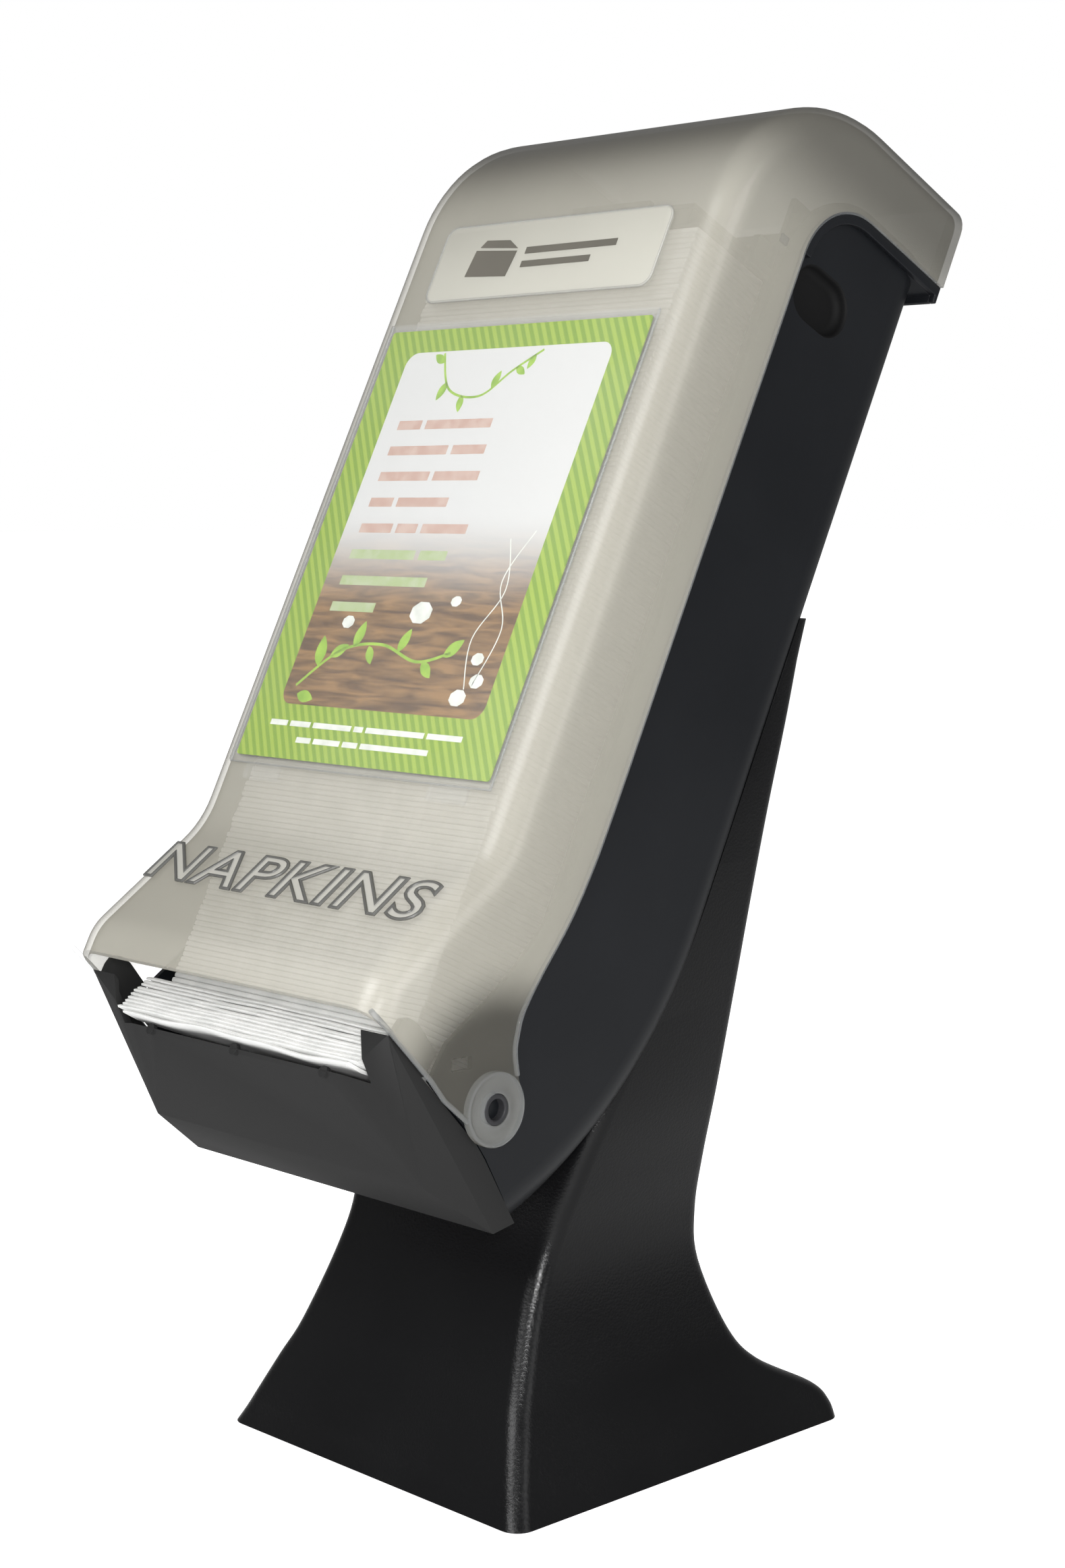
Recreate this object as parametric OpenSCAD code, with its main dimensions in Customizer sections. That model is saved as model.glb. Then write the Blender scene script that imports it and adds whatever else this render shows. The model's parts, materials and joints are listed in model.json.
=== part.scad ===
// Napkin dispenser on a counter stand.
// A leaning trough holds a stack of folded napkins. A weighted follower presses the stack down to the
// mouth at the bottom, and a clear frosted cover swings forward on two side bosses for refilling.
// Millimetres, +Z up, front towards -Y, origin under the middle of the whole object.
// Trough pieces are drawn in a leaning frame: X across, "s" up the slope, "n" out towards the front.

/* [Stand] */
// Half width of the foot at the counter
foot_half_w = 98.2; // [96:0.1:99]
// Wall of the moulded stand
stand_wall = 3.2; // [2.5:0.1:3.6]
// Radius of the stand's upright corners
stand_corner_r = 9; // [7:0.5:11]
// Gap under the stand's edge, taken up by the rubber feet
edge_gap = 1.2; // [0.8:0.1:2]
// Thickness of the steel ballast plate
ballast_t = 6; // [4:0.5:8]

/* [Trough] */
// Lean of the trough from upright, in degrees
lean_angle = 26.5; // [26.5]
// Half width across the trough's side walls
trough_half_w = 99.8; // [99.6:0.1:100]
// Wall of the trough
trough_wall = 2.4; // [2.2:0.1:2.6]
// Radius of the trough's rounded back edges
back_r = 19; // [17:0.5:20]
// Radius at which the trough's back curves forward
bend_r = 230; // [230]

/* [Cover] */
// Half width across the cover
cover_half_w = 103; // [102.9:0.1:103.4]
// Wall of the cover
cover_wall = 2.4; // [2.1:0.1:2.5]
// Radius of the cover's front corners
cover_corner_r = 15; // [12:0.5:18]
// Radius of the big curve at the top of the cover
cover_top_r = 82.3; // [80:0.1:84]
// Width of the rim's flare over the mouth, out from the front face
rim_flare = 35.3; // [35:0.1:35.6]

/* [Hinge and lock] */
// Radius of the hinge boss
boss_r = 6.65; // [6.62:0.01:6.68]
// Radius of the hole in the cover's ear
ear_hole_r = 6.7; // [6.7]
// Outer radius of the cover's ear
ear_r = 15.7; // [15:0.1:16]
// Lift of the latch bar for a quarter turn of the key
latch_lift = 5.4; // [5.2:0.1:5.4]
// Radius of the key plug
plug_r = 6; // [6]

/* [Napkins] */
// Half width of a folded napkin
napkin_half_w = 82.5; // [78:0.5:82.5]
// Depth of a folded napkin
napkin_depth = 108; // [100:1:108]
// Length of the loaded stack along the slope
stack_len = 370; // [300:5:370]
// Length of the printed card
card_len = 214.8; // [200:0.2:214.8]

/* [Hidden] */
$fn = 72;

stand_shift = 1.8;          // the foot's centre behind the origin
foot_depth = 212.4;
lean_y = -foot_depth / 2 + stand_shift;
clear = 0.3;                // gap between the stand's cradle and the trough

back_n = 2;                 // outside of the trough's back
bend_s = 270;               // where the back starts to curve
wall_edge_n = 96;           // front edge of the trough's side walls
wall_top_r = 45;
wall_top_s = 598;
shelf_s = 592.9;            // top face of the trough's end shelf
shelf_t = 4.9;
shelf_rear_n = -4;
shelf_arc_r = 34.4;
flange_half_w = 102.6;

front_n = 141.1;            // front face of the cover
rim_n = front_n + rim_flare;
rim_s = 175;
crease_s = 251;
ramp_angle = 29.15;
cover_top_s = 636.7;
cover_rear_n = -5;
hood_s = 593.5;             // lower edge of the hood behind
side_edge_n = 88.2;         // rear edge of the cover's sides
hood_arc_r = 35;

hinge_s = 159.9;
hinge_n = 96.6;
pocket_s = 546.7;           // finger scoop in each side wall
pocket_n = [59.5, 72];
pocket_r = 12.3;
pocket_depth = 6;

napkin_rear_n = 26;
stack_s = 176.2;
follower_s = stack_s + stack_len + 0.3;
plate_t = 3;
weight_t = 15;
lid_s = follower_s + plate_t + weight_t + 1;

rail_x = [84, 86.5];        // guide rails stand just outside the napkins
rail_slot_n = [46, 52];
rail_slot_s = [186, 583];
rail_screw_s = [300, 410, 520];
rail_screw_x = 76;

bar_s = 566;                // lower edge of the latch bar
bar_n = [8, 11];
cam_r = 8;
cam_gap = 0.95;
lock_s = bar_s - cam_r - cam_gap;
hook_s = 541;
screw_r = 2.1;
pan_head_r = 3.8;
shoulder_x = 62;            // shoulder screws that guide the latch bar
shoulder_slot = [bar_s - 1.6, bar_s + 4.2];
hook_x = [93, 96.8];
housing_screw_x = 45;
housing_screw_s = [222, 300];
ballast_screw_at = [for (x = [-76, 76], y = [-82, 62]) [x, y + stand_shift]];
foot_at = [for (x = [-72, 72], y = [-64, 82]) [x, y + stand_shift]];
badge_s = [513.7, 553.2];
badge_half_w = 72.7;
card_s = 283;
card_half_w = 84.2;
card_n = [142.2, 142.8];
lip_half_w = 84;
lip_s = 151.5;

// Stand outline from the counter up: height, half width, front, rear
stations = [
    [0, foot_half_w + 0.6, -106.2, 106.4], [8.4, foot_half_w - 3.6, -102.5, 106],
    [16.8, 90.8, -99, 98.5], [33.6, 83.6, -91.4, 68], [50.4, 76.6, -83.2, 54.4],
    [84, 68.6, -68.6, 42.4], [108, 68, -58.2, 40.8], [134.4, 74.7, -51, 38.6],
    [168, 84, -41, 37.4], [210, 90, -20, 41.5], [252, 94.2, 1, 47.5], [294, 96.3, 22, 56.5],
    [336, 96.8, 43, 68.5], [378, 97, 64, 79.4]
];

// ---------- shared geometry ----------

// A point of a side outline: s up the slope, n out towards the front
function at(s, n) = [-n, s];

function arc(centre_s, centre_n, r, a0, a1, steps = 12) =
    [for (i = [0:steps]) let (a = a0 + (a1 - a0) * i / steps)
        at(centre_s + r * sin(a), centre_n + r * cos(a))];

// The leaning frame: its Z runs up the slope and its -Y runs out of the front
module lean() translate([0, lean_y, 0]) rotate([-lean_angle, 0, 0]) children();

// A side outline made solid across the width
module slab(half_w) rotate([90, 0, 90]) translate([0, 0, -half_w]) linear_extrude(2 * half_w) children();

// A straight block in the leaning frame, given as ranges
module block(x, s, n)
    translate([x[0], -n[1], s[0]]) cube([x[1] - x[0], n[1] - n[0], s[1] - s[0]]);

// The same on both sides
module pair() {
    children();
    mirror([1, 0, 0]) children();
}

// A cylinder along the n direction, from n0 out to n1
module n_rod(x, s, n0, n1, r)
    translate([x, -n0, s]) rotate([90, 0, 0]) cylinder(r = r, h = n1 - n0);

// A cylinder along X in the leaning frame
module x_rod(x0, x1, s, n, r)
    translate([x0, -n, s]) rotate([0, 90, 0]) cylinder(r = r, h = x1 - x0);

// Pan-head screw along the n direction: the head rests on n0 and the shank runs back from it
module n_screw(x, s, n0, length) {
    n_rod(x, s, n0 - length, n0, screw_r - 0.1);
    n_rod(x, s, n0, n0 + 2, pan_head_r);
}

// ---------- stand ----------

function spline(p, i, t) =
    let (a = p[max(i - 1, 0)], b = p[i], c = p[i + 1], d = p[min(i + 2, len(p) - 1)])
    0.5 * (2 * b + (c - a) * t + (2 * a - 5 * b + 4 * c - d) * t * t + (3 * b - a - 3 * c + d) * t * t * t);

stand_levels = [
    for (i = [0:len(stations) - 2], k = [0:1]) spline(stations, i, k / 2),
    stations[len(stations) - 1]
];
corner_steps = 4;

// One level of the stand: a rectangle with rounded corners
function ring(level, inset) =
    let (r = stand_corner_r - inset, w = level[1] - inset - r,
         f = level[2] + inset + r + stand_shift, b = level[3] - inset - r + stand_shift)
    [for (c = [0:3], k = [0:corner_steps])
        let (a = 90 * c + 90 * k / corner_steps)
        [(c == 0 || c == 3 ? w : -w) + r * cos(a), (c < 2 ? b : f) + r * sin(a), level[0]]];

module stand_form(inset, levels) {
    n = 4 * (corner_steps + 1);
    m = len(levels);
    points = [for (level = levels) each ring(level, inset)];
    faces = [
        [for (i = [0:n - 1]) i],
        for (j = [0:m - 2], i = [0:n - 1]) [j * n + i, (j + 1) * n + i, (j + 1) * n + (i + 1) % n],
        for (j = [0:m - 2], i = [0:n - 1]) [j * n + i, (j + 1) * n + (i + 1) % n, j * n + (i + 1) % n],
        [for (i = [n - 1:-1:0]) (m - 1) * n + i]
    ];
    polyhedron(points, faces, convexity = 8);
}

// The room that the trough's back takes out of the stand's top, grown by a gap
module cradle_cut(gap) lean() slab(130)
    polygon([at(700, back_n - gap), each back_curve(-gap), at(90, 200), at(700, 200)]);

module stand_shell() color([0.07, 0.07, 0.075]) difference() {
    union() {
        difference() {
            stand_form(0, stand_levels);
            difference() {
                translate([0, 0, -0.01]) stand_form(stand_wall, stand_levels);
                cradle_cut(clear + stand_wall);
            }
        }
        for (p = ballast_screw_at) translate([p[0], p[1], edge_gap + 1 + ballast_t])
            cylinder(r = 5.5, h = 20);
    }
    for (p = ballast_screw_at) translate([p[0], p[1], 0]) cylinder(r = screw_r, h = 24);
    translate([-150, -150, -1]) cube([300, 300, 1 + edge_gap]);
    cradle_cut(clear);
    lean() for (x = [-housing_screw_x, housing_screw_x], s = housing_screw_s)
        n_rod(x, s, -9, 9, screw_r);
}

module ballast_plate() color([0.45, 0.46, 0.48]) difference() {
    translate([-84, -95 + stand_shift, edge_gap + 0.8]) cube([168, 188, ballast_t]);
    for (p = ballast_screw_at) translate([p[0], p[1], -1]) cylinder(r = screw_r + 0.2, h = 20);
    for (p = foot_at) translate([p[0], p[1], -1]) cylinder(r = 3, h = 20);
}

module ballast_screws() color([0.75, 0.75, 0.77]) for (p = ballast_screw_at) translate([p[0], p[1], 0]) {
    translate([0, 0, edge_gap + 0.8]) cylinder(r = screw_r - 0.1, h = 20);
    translate([0, 0, edge_gap - 0.9]) cylinder(r = pan_head_r, h = 1.7);
}

module rubber_feet() color([0.1, 0.1, 0.1]) for (p = foot_at) translate([p[0], p[1], 0]) {
    cylinder(r1 = 8.5, r2 = 9, h = edge_gap + 0.8);
    cylinder(r = 2.9, h = edge_gap + ballast_t);
}

module nut_plate() color([0.7, 0.7, 0.72]) lean() difference() {
    block([-56, 56], [208, 314], [back_n - clear - stand_wall - 3, back_n - clear - stand_wall]);
    for (x = [-housing_screw_x, housing_screw_x], s = housing_screw_s) n_rod(x, s, -9, 9, screw_r - 0.1);
}

module housing_screws() color([0.75, 0.75, 0.77]) lean()
    for (x = [-housing_screw_x, housing_screw_x], s = housing_screw_s)
        n_screw(x, s, trough_inside(s) + (s < bend_s ? 0.95 : 0), 11);

// ---------- trough ----------

// Inside face of the trough's back at the height s
function trough_inside(s) =
    s >= bend_s ? back_n + trough_wall
                : back_n + bend_r - sqrt(pow(bend_r - trough_wall, 2) - pow(bend_s - s, 2));

// Cross-section of the trough made solid: rounded at the back, open-ended at the front
module trough_section(inset) {
    w = trough_half_w - inset;
    r = back_r - inset;
    rear = -back_n - inset;
    translate([-w, rear - 130]) square([2 * w, 130 - r]);
    translate([-w + r, rear - 130]) square([2 * (w - r), 130]);
    for (x = [-w + r, w - r]) translate([x, rear - r]) circle(r = r);
}

// Back of the trough in side view: straight above, then curving forward
function back_curve(inset) =
    [for (a = [1:3:46]) at(bend_s - (bend_r - inset) * sin(a), back_n + bend_r - (bend_r - inset) * cos(a))];

module trough_form(inset) intersection() {
    translate([0, 0, 80]) linear_extrude(wall_top_s - 78) trough_section(inset);
    slab(150) polygon([at(620, -20), at(bend_s, -20), each back_curve(inset), at(90, 200), at(620, 200)]);
}

// Side view of the trough's walls
module wall_outline() {
    translate(at(wall_top_s - wall_top_r, wall_edge_n - wall_top_r)) circle(r = wall_top_r);
    polygon([
        at(wall_top_s, -3), at(wall_top_s, wall_edge_n - wall_top_r),
        at(wall_top_s - wall_top_r, wall_edge_n), at(255, wall_edge_n), at(224.3, 105.8),
        at(206.6, 113.4), at(190.7, 122.6), at(176, 131), at(159.4, 133), at(144.5, 97.2),
        at(140.4, 90), at(129.5, 74.6), at(121, 62), at(112, 50), at(90, 0), at(90, -3)
    ]);
}

// Finger scoop: a slot with round ends, lying across the wall
module scoop_outline(extra) {
    for (n = pocket_n) translate(at(pocket_s, n)) circle(r = pocket_r + extra);
    translate([-pocket_n[1], pocket_s - pocket_r - extra])
        square([pocket_n[1] - pocket_n[0], 2 * (pocket_r + extra)]);
}

// Side view of the end shelf with its flange, which follows the cover's edge
module shelf_outline(drop) {
    translate([-hood_arc_r - 18.2, 500]) square([hood_arc_r + 18.2 - shelf_rear_n, shelf_s - drop - 500]);
    translate(at(shelf_s - shelf_arc_r - drop, 53.2)) circle(r = shelf_arc_r);
}

module flange_band() difference() {
    shelf_outline(0);
    shelf_outline(shelf_t);
    translate([-120, 480]) square([240, shelf_s - shelf_arc_r - 480]);
}

module trough_housing() color([0.1, 0.105, 0.115]) lean() difference() {
    union() {
        difference() {
            intersection() {
                trough_form(0);
                slab(trough_half_w + 1) wall_outline();
            }
            trough_form(trough_wall);
        }
        // End shelf between the walls, its flange outside them, and the hook along its rear edge
        intersection() {
            slab(flange_half_w) flange_band();
            union() {
                block([-flange_half_w, flange_half_w], [500, 600], [shelf_rear_n, 50]);
                pair() block([trough_half_w - 0.5, flange_half_w], [500, 600], [49, 110]);
            }
        }
        block([-flange_half_w, flange_half_w], [584.5, 592.9], [shelf_rear_n, shelf_rear_n + 2.2]);
        // Pocket behind each finger scoop
        pair() intersection() {
            slab(trough_half_w - 0.5) scoop_outline(trough_wall);
            block([trough_half_w - pocket_depth - trough_wall, trough_half_w - 0.5], [500, 600], [0, 120]);
        }
        // Collar inside the back wall for the lock
        n_rod(0, lock_s, back_n, 6.2, 14);
    }
    pair() {
        intersection() {
            slab(trough_half_w + 5) scoop_outline(0);
            block([trough_half_w - pocket_depth, 120], [500, 600], [0, 120]);
        }
        x_rod(80, 120, hinge_s, hinge_n, boss_r);
        // Small slanted window near the mouth
        translate([80, -119.8, 171.3]) rotate([-25.6, 0, 0]) translate([0, -5.4, -2.6])
            cube([40, 10.8, 5.2]);
        for (s = rail_screw_s) n_rod(rail_screw_x, s, 0, 6, screw_r - 0.05);
        n_rod(shoulder_x, bar_s + 4, 0, 5, 2);
    }
    for (x = [-housing_screw_x, housing_screw_x], s = housing_screw_s) n_rod(x, s, -9, 30, screw_r);
    n_rod(0, lock_s, -9, 30, 9.05);
    at_throat_screws() cylinder(r = screw_r, h = 12, center = true);
}

// ---------- throat ----------

// The throat as a solid bucket: three nested side views, narrower towards the front face
module throat_form(narrow) hull() {
    slab(trough_half_w + 0.4 - narrow) polygon([
        at(169.3, 162.7), at(143.7, 97.2), at(139.9, 90.7), at(128.9, 75.3), at(120.9, 62.9),
        at(113.6, 72.4)
    ]);
    slab(90.4 - narrow) polygon([at(120.5, 108.6), at(120.9, 62.9), at(143.7, 97.2)]);
    slab(72 - narrow) polygon([at(lip_s, 153), at(120.9, 62.9), at(143.7, 97.2)]);
}

// Places its children on the throat's two fixing screws, along the wall's own normal
module at_throat_screws() for (x = [-50, 50])
    translate([x, -54.5, 130.4]) rotate([54, 0, 0]) children();

module throat_plate() color([0.16, 0.16, 0.16]) lean() difference() {
    union() {
        difference() {
            throat_form(0);
            translate([0, 1.2, 2.6]) throat_form(2.4);
            block([-lip_half_w, lip_half_w], [lip_s, 200], [60, 200]);
        }
        // Ears that stand up behind the cover at both ends of the mouth
        pair() translate([96.4, 0, 0]) rotate([90, 0, 90]) linear_extrude(3.2) polygon([
            at(173.7, 158.6), at(177.6, 157.3), at(179.3, 153.4), at(178.2, 147.8), at(171.4, 134.6),
            at(160.5, 136.6), at(157, 144), at(166, 159)
        ]);
        // Three small bumps on the lip
        for (x = [-59, 0, 59]) translate([x, -151.6, lip_s - 0.4]) rotate([90, 0, 0])
            cylinder(r = 2.4, h = 2.2, center = true);
        // Flange lying inside the trough's lower edge
        slab(70) polygon([at(118.4, 67), at(121.4, 64.6), at(135, 53.8), at(136.6, 55.6), at(122.6, 68)]);
    }
    at_throat_screws() cylinder(r = screw_r - 0.2, h = 12, center = true);
}

module throat_screws() color([0.75, 0.75, 0.77]) lean() at_throat_screws() {
    translate([0, 0, -4.4]) cylinder(r = screw_r - 0.3, h = 9.4);
    translate([0, 0, -6.4]) cylinder(r = 3.6, h = 2);
}

module feed_tray() color([0.14, 0.14, 0.145]) lean() difference() {
    intersection() {
        slab(94) polygon([
            at(163, 37), at(155.5, 108), at(149.8, 142), at(147.4, 141.6), at(153, 107.6), at(160.4, 36.7)
        ]);
        // Narrower towards the lip, as the throat is
        translate([0, 0, 140]) linear_extrude(30)
            polygon([[94, -30], [94, -112], [66, -143], [-66, -143], [-94, -112], [-94, -30]]);
    }
    // Thumb cut-out at the front edge
    translate([0, -152, 140]) cylinder(r = 30, h = 20);
}

// ---------- hinge ----------

module hinge_boss() lean() difference() {
    union() {
        x_rod(trough_half_w - trough_wall - 2.5, cover_half_w + 0.6, hinge_s, hinge_n, boss_r);
        x_rod(trough_half_w - trough_wall - 2.5, trough_half_w - trough_wall, hinge_s, hinge_n, 10);
    }
    x_rod(cover_half_w - 6, cover_half_w + 1, hinge_s, hinge_n, 4.4);
}

module hinge_boss_right() color([0.12, 0.12, 0.12]) hinge_boss();
module hinge_boss_left() color([0.12, 0.12, 0.12]) mirror([1, 0, 0]) hinge_boss();

// ---------- guide rails ----------

module guide_rail() lean() difference() {
    intersection() {
        trough_form(trough_wall + 0.2);
        union() {
            block(rail_x, [180, 587], [4, 88]);
            block([68, rail_x[1]], [bend_s + 2, 544], [back_n, back_n + trough_wall + 2.6]);
        }
    }
    block([80, 90], rail_slot_s, rail_slot_n);
    block([60, 90], [544, 600], [0, 23]);
    for (s = rail_screw_s) n_rod(rail_screw_x, s, 0, 9, screw_r);
}

module guide_rail_right() color([0.2, 0.2, 0.21]) guide_rail();
module guide_rail_left() color([0.2, 0.2, 0.21]) mirror([1, 0, 0]) guide_rail();

module rail_screws() color([0.75, 0.75, 0.77]) lean() pair()
    for (s = rail_screw_s) n_screw(rail_screw_x, s, back_n + trough_wall + 2.6, 4.4);

// ---------- lock and latch ----------

module lock_barrel() color([0.72, 0.72, 0.74]) lean() difference() {
    union() {
        n_rod(0, lock_s, -0.4, 7.6, 9);
        n_rod(0, lock_s, -0.6, back_n, 12);
    }
    n_rod(0, lock_s, -3, 10, plug_r + 0.05);
}

module lock_nut() color([0.7, 0.66, 0.5]) lean() difference() {
    translate([0, -6.25, lock_s]) rotate([90, 0, 0]) cylinder(r = 12.5, h = 1.3, $fn = 6);
    n_rod(0, lock_s, 4, 9, 9.05);
}

module lock_plug() color([0.78, 0.78, 0.8]) lean() difference() {
    n_rod(0, lock_s, -1, bar_n[0], plug_r);
    block([-0.7, 0.7], [lock_s - 4, lock_s + 4], [-2, 4]);
}

// Spiral cam: its radius grows evenly over the quarter turn that lifts the bar
module lock_cam() color([0.65, 0.66, 0.68]) lean() difference() {
    translate([0, -bar_n[0], lock_s]) rotate([90, 0, 0]) linear_extrude(bar_n[1] - bar_n[0]) polygon([
        for (a = [0:5:90]) (cam_r + 6 * a / 90) * [sin(a), cos(a)],
        for (a = [100:10:350]) cam_r * [sin(a), cos(a)]
    ]);
    n_rod(0, lock_s, 7, 13, screw_r - 0.1);
}

module cam_screw() color([0.75, 0.75, 0.77]) lean() {
    n_rod(0, lock_s, bar_n[0], bar_n[1], screw_r - 0.1);
    n_rod(0, lock_s, bar_n[1], bar_n[1] + 2, 4);
}

module latch_bar() color([0.09, 0.09, 0.095]) lean() difference() {
    union() {
        block([-90, 90], [bar_s, bar_s + 8], bar_n);
        // Nose that rides on the cam
        block([-1.5, 1.5], [bar_s, bar_s + 1], bar_n);
        pair() {
            block([30, 40], [bar_s + 6.5, bar_s + 8], [bar_n[0] - 3, bar_n[1] + 3]);
            block([shoulder_x - 6, shoulder_x + 6], [bar_s - 6, bar_s + 2], bar_n);
            block([87.2, 90], [bar_s, bar_s + 9], [bar_n[0], 21]);
            block([87.2, hook_x[1]], [bar_s + 2.5, bar_s + 9], [18, 21]);
            block(hook_x, [bar_s + 2.5, bar_s + 9], [18, 94]);
            block(hook_x, [hook_s, bar_s + 9], [88, 94]);
            block(hook_x, [hook_s, hook_s + 3.5], [88, 107]);
            block(hook_x, [hook_s, hook_s + 13.4], [103.4, 111]);
        }
    }
    // Cut beside the nose, and slots for the shoulder screws
    pair() {
        block([1.5, 18], [bar_s - 1, bar_s + 3], [0, 20]);
        block([shoulder_x - 3.2, shoulder_x + 3.2], shoulder_slot, [0, 20]);
        for (s = shoulder_slot) n_rod(shoulder_x, s, 0, 20, 3.2);
    }
}

module latch_shoulder_screws() color([0.75, 0.75, 0.77]) lean() pair() {
    n_rod(shoulder_x, bar_s + 4, back_n + 0.4, back_n + trough_wall, 1.9);
    n_rod(shoulder_x, bar_s + 4, back_n + trough_wall, bar_n[1] + 0.4, 2.9);
    n_rod(shoulder_x, bar_s + 4, bar_n[1] + 0.4, bar_n[1] + 2.2, 5);
}

// Closed coil spring swept as a six-sided wire
module spring(r, wire_r, turns, height) {
    rings = turns * 16;
    points = [
        for (j = [0:rings], k = [0:5])
            let (a = 360 * j / 16, b = 60 * k, q = r + wire_r * cos(b))
            [q * cos(a), q * sin(a), wire_r + (height - 2 * wire_r) * j / rings + wire_r * sin(b)]
    ];
    faces = [
        [for (k = [0:5]) k],
        for (j = [0:rings - 1], k = [0:5])
            [j * 6 + k, (j + 1) * 6 + k, (j + 1) * 6 + (k + 1) % 6, j * 6 + (k + 1) % 6],
        [for (k = [5:-1:0]) rings * 6 + k]
    ];
    polyhedron(points, faces, convexity = 10);
}

module latch_springs() color([0.8, 0.8, 0.82]) lean() for (x = [-35, 35])
    translate([x, -(bar_n[0] + bar_n[1]) / 2, bar_s + 8.1]) spring(3.4, 0.45, 5, shelf_s - shelf_t - bar_s - 8.3);

// ---------- cover ----------

// Front profile of the cover from the mouth up, as [s, n]: rim, flared ramp, front face, top curve
function cover_profile(inset) =
    let (k = inset * tan(ramp_angle / 2), r = cover_top_r - inset,
         arc_s = cover_top_s - cover_top_r, arc_n = front_n - cover_top_r)
    [
        [130, rim_n - inset], [crease_s - rim_flare / tan(ramp_angle) - k, rim_n - inset],
        [crease_s - k, front_n - inset],
        for (a = [3:4:87]) [arc_s + r * sin(a), arc_n + r * cos(a)],
        [cover_top_s - inset, arc_n]
    ];

// Outline of the cover at one point of that profile, with rounded front corners
function cover_ring(point, inset) =
    let (r = cover_corner_r, w = cover_half_w - inset, x = w - r, y = r - point[1])
    [
        [w, -cover_rear_n - inset, point[0]], [-w, -cover_rear_n - inset, point[0]],
        for (a = [180:15:270]) [-x + r * cos(a), y + r * sin(a), point[0]],
        for (a = [270:15:360]) [x + r * cos(a), y + r * sin(a), point[0]]
    ];

module cover_form(inset) {
    rings = [for (point = cover_profile(inset)) cover_ring(point, inset)];
    n = len(rings[0]);
    m = len(rings);
    polyhedron([for (r = rings) each r], [
        [for (i = [0:n - 1]) i],
        for (j = [0:m - 2], i = [0:n - 1])
            [j * n + i, (j + 1) * n + i, (j + 1) * n + (i + 1) % n, j * n + (i + 1) % n],
        [for (i = [n - 1:-1:0]) (m - 1) * n + i]
    ], convexity = 8);
}

// Side view of the cover: hood, sides, neck and ear
module cover_outline() {
    translate(at(hinge_s, hinge_n)) circle(r = ear_r);
    polygon([
        at(640, cover_rear_n - 1), at(640, 185), at(rim_s, 185), at(rim_s, rim_n), at(170.7, 163.4),
        at(159.9, 134.7), at(154.8, 124.3), at(149.6, 109.2), at(hinge_s - 13.5, hinge_n + 8),
        at(hinge_s, hinge_n), at(168.6, 83.5), at(174.6, 89.6), at(184.4, 96.3), at(192.4, 98.6),
        at(201.2, 99.6), at(217.3, 97.2), at(241, 92), at(262, 89.4), at(294, side_edge_n),
        each arc(hood_s - hood_arc_r, side_edge_n - hood_arc_r, hood_arc_r, 0, 90),
        at(hood_s, cover_rear_n - 1)
    ]);
}

module cover() color([0.8, 0.79, 0.74, 0.5]) lean() difference() {
    union() {
        difference() {
            intersection() {
                cover_form(0);
                slab(cover_half_w + 1) cover_outline();
            }
            cover_form(cover_wall);
        }
        pair() {
            // Raised ring round the ear, and the lug that the latch hook holds
            difference() {
                x_rod(cover_half_w - 1, cover_half_w + 0.8, hinge_s, hinge_n, ear_r - 0.2);
                x_rod(cover_half_w - 2, cover_half_w + 2, hinge_s, hinge_n, ear_r - 1.6);
            }
            block([94.5, cover_half_w - 1], [555.6, 559.6], [97.6, 102.8]);
        }
    }
    x_rod(-120, 120, hinge_s, hinge_n, ear_hole_r);
    block([-badge_half_w, badge_half_w], badge_s, [front_n - 1, front_n + 5]);
}

module badge_window() color([0.9, 0.9, 0.88, 0.6]) lean()
    block([-badge_half_w + 0.2, badge_half_w - 0.2], [badge_s[0] + 0.2, badge_s[1] - 0.2],
          [front_n - 1, front_n + 0.3]);

module card_holder() color([0.92, 0.93, 0.92, 0.35]) lean() difference() {
    union() {
        block([-86.4, 86.4], [279.5, 501], [front_n, 144]);
        for (x = [-62, 62]) block([x - 12, x + 12], [272, 280], [front_n, 143]);
    }
    block([-card_half_w - 0.5, card_half_w + 0.5], [card_s - 0.4, 520], [card_n[0] - 0.3, card_n[1] + 0.3]);
}

module display_card() color([0.55, 0.7, 0.2]) lean()
    block([-card_half_w, card_half_w], [card_s, card_s + card_len], card_n);

// ---------- follower ----------

module follower_plate() color([0.22, 0.22, 0.23]) lean() difference() {
    union() {
        block([-81, 81], [follower_s, follower_s + plate_t], [28, 132]);
        block([-60, 60], [follower_s, lid_s], [34, 120]);
        pair() {
            block([58, 89.8], [follower_s, lid_s], [rail_slot_n[0] + 0.4, rail_slot_n[1] - 0.4]);
            block([87.2, 89.8], [follower_s, lid_s], [rail_slot_n[0] - 4, rail_slot_n[1] + 4]);
        }
    }
    block([-56.5, 56.5], [follower_s + plate_t, lid_s + 5], [38, 116]);
}

module follower_weight() color([0.5, 0.5, 0.52]) lean()
    block([-55.5, 55.5], [follower_s + plate_t + 0.1, follower_s + plate_t + 0.1 + weight_t], [39, 115]);

module follower_lid() color([0.2, 0.2, 0.21]) lean() difference() {
    union() {
        block([-60, 60], [lid_s, lid_s + 2.4], [34, 120]);
        // Finger grip
        block([-25, 25], [lid_s + 2, lid_s + 10], [112, 115]);
    }
    pair() translate([45, -77, 0]) cylinder(r = screw_r - 0.1, h = 700);
}

module follower_lid_screws() color([0.75, 0.75, 0.77]) lean() pair() translate([45, -77, 0]) {
    translate([0, 0, lid_s]) cylinder(r = screw_r - 0.1, h = 2.4);
    translate([0, 0, lid_s + 2.4]) cylinder(r = pan_head_r, h = 1.8);
}

// ---------- napkins ----------

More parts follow.
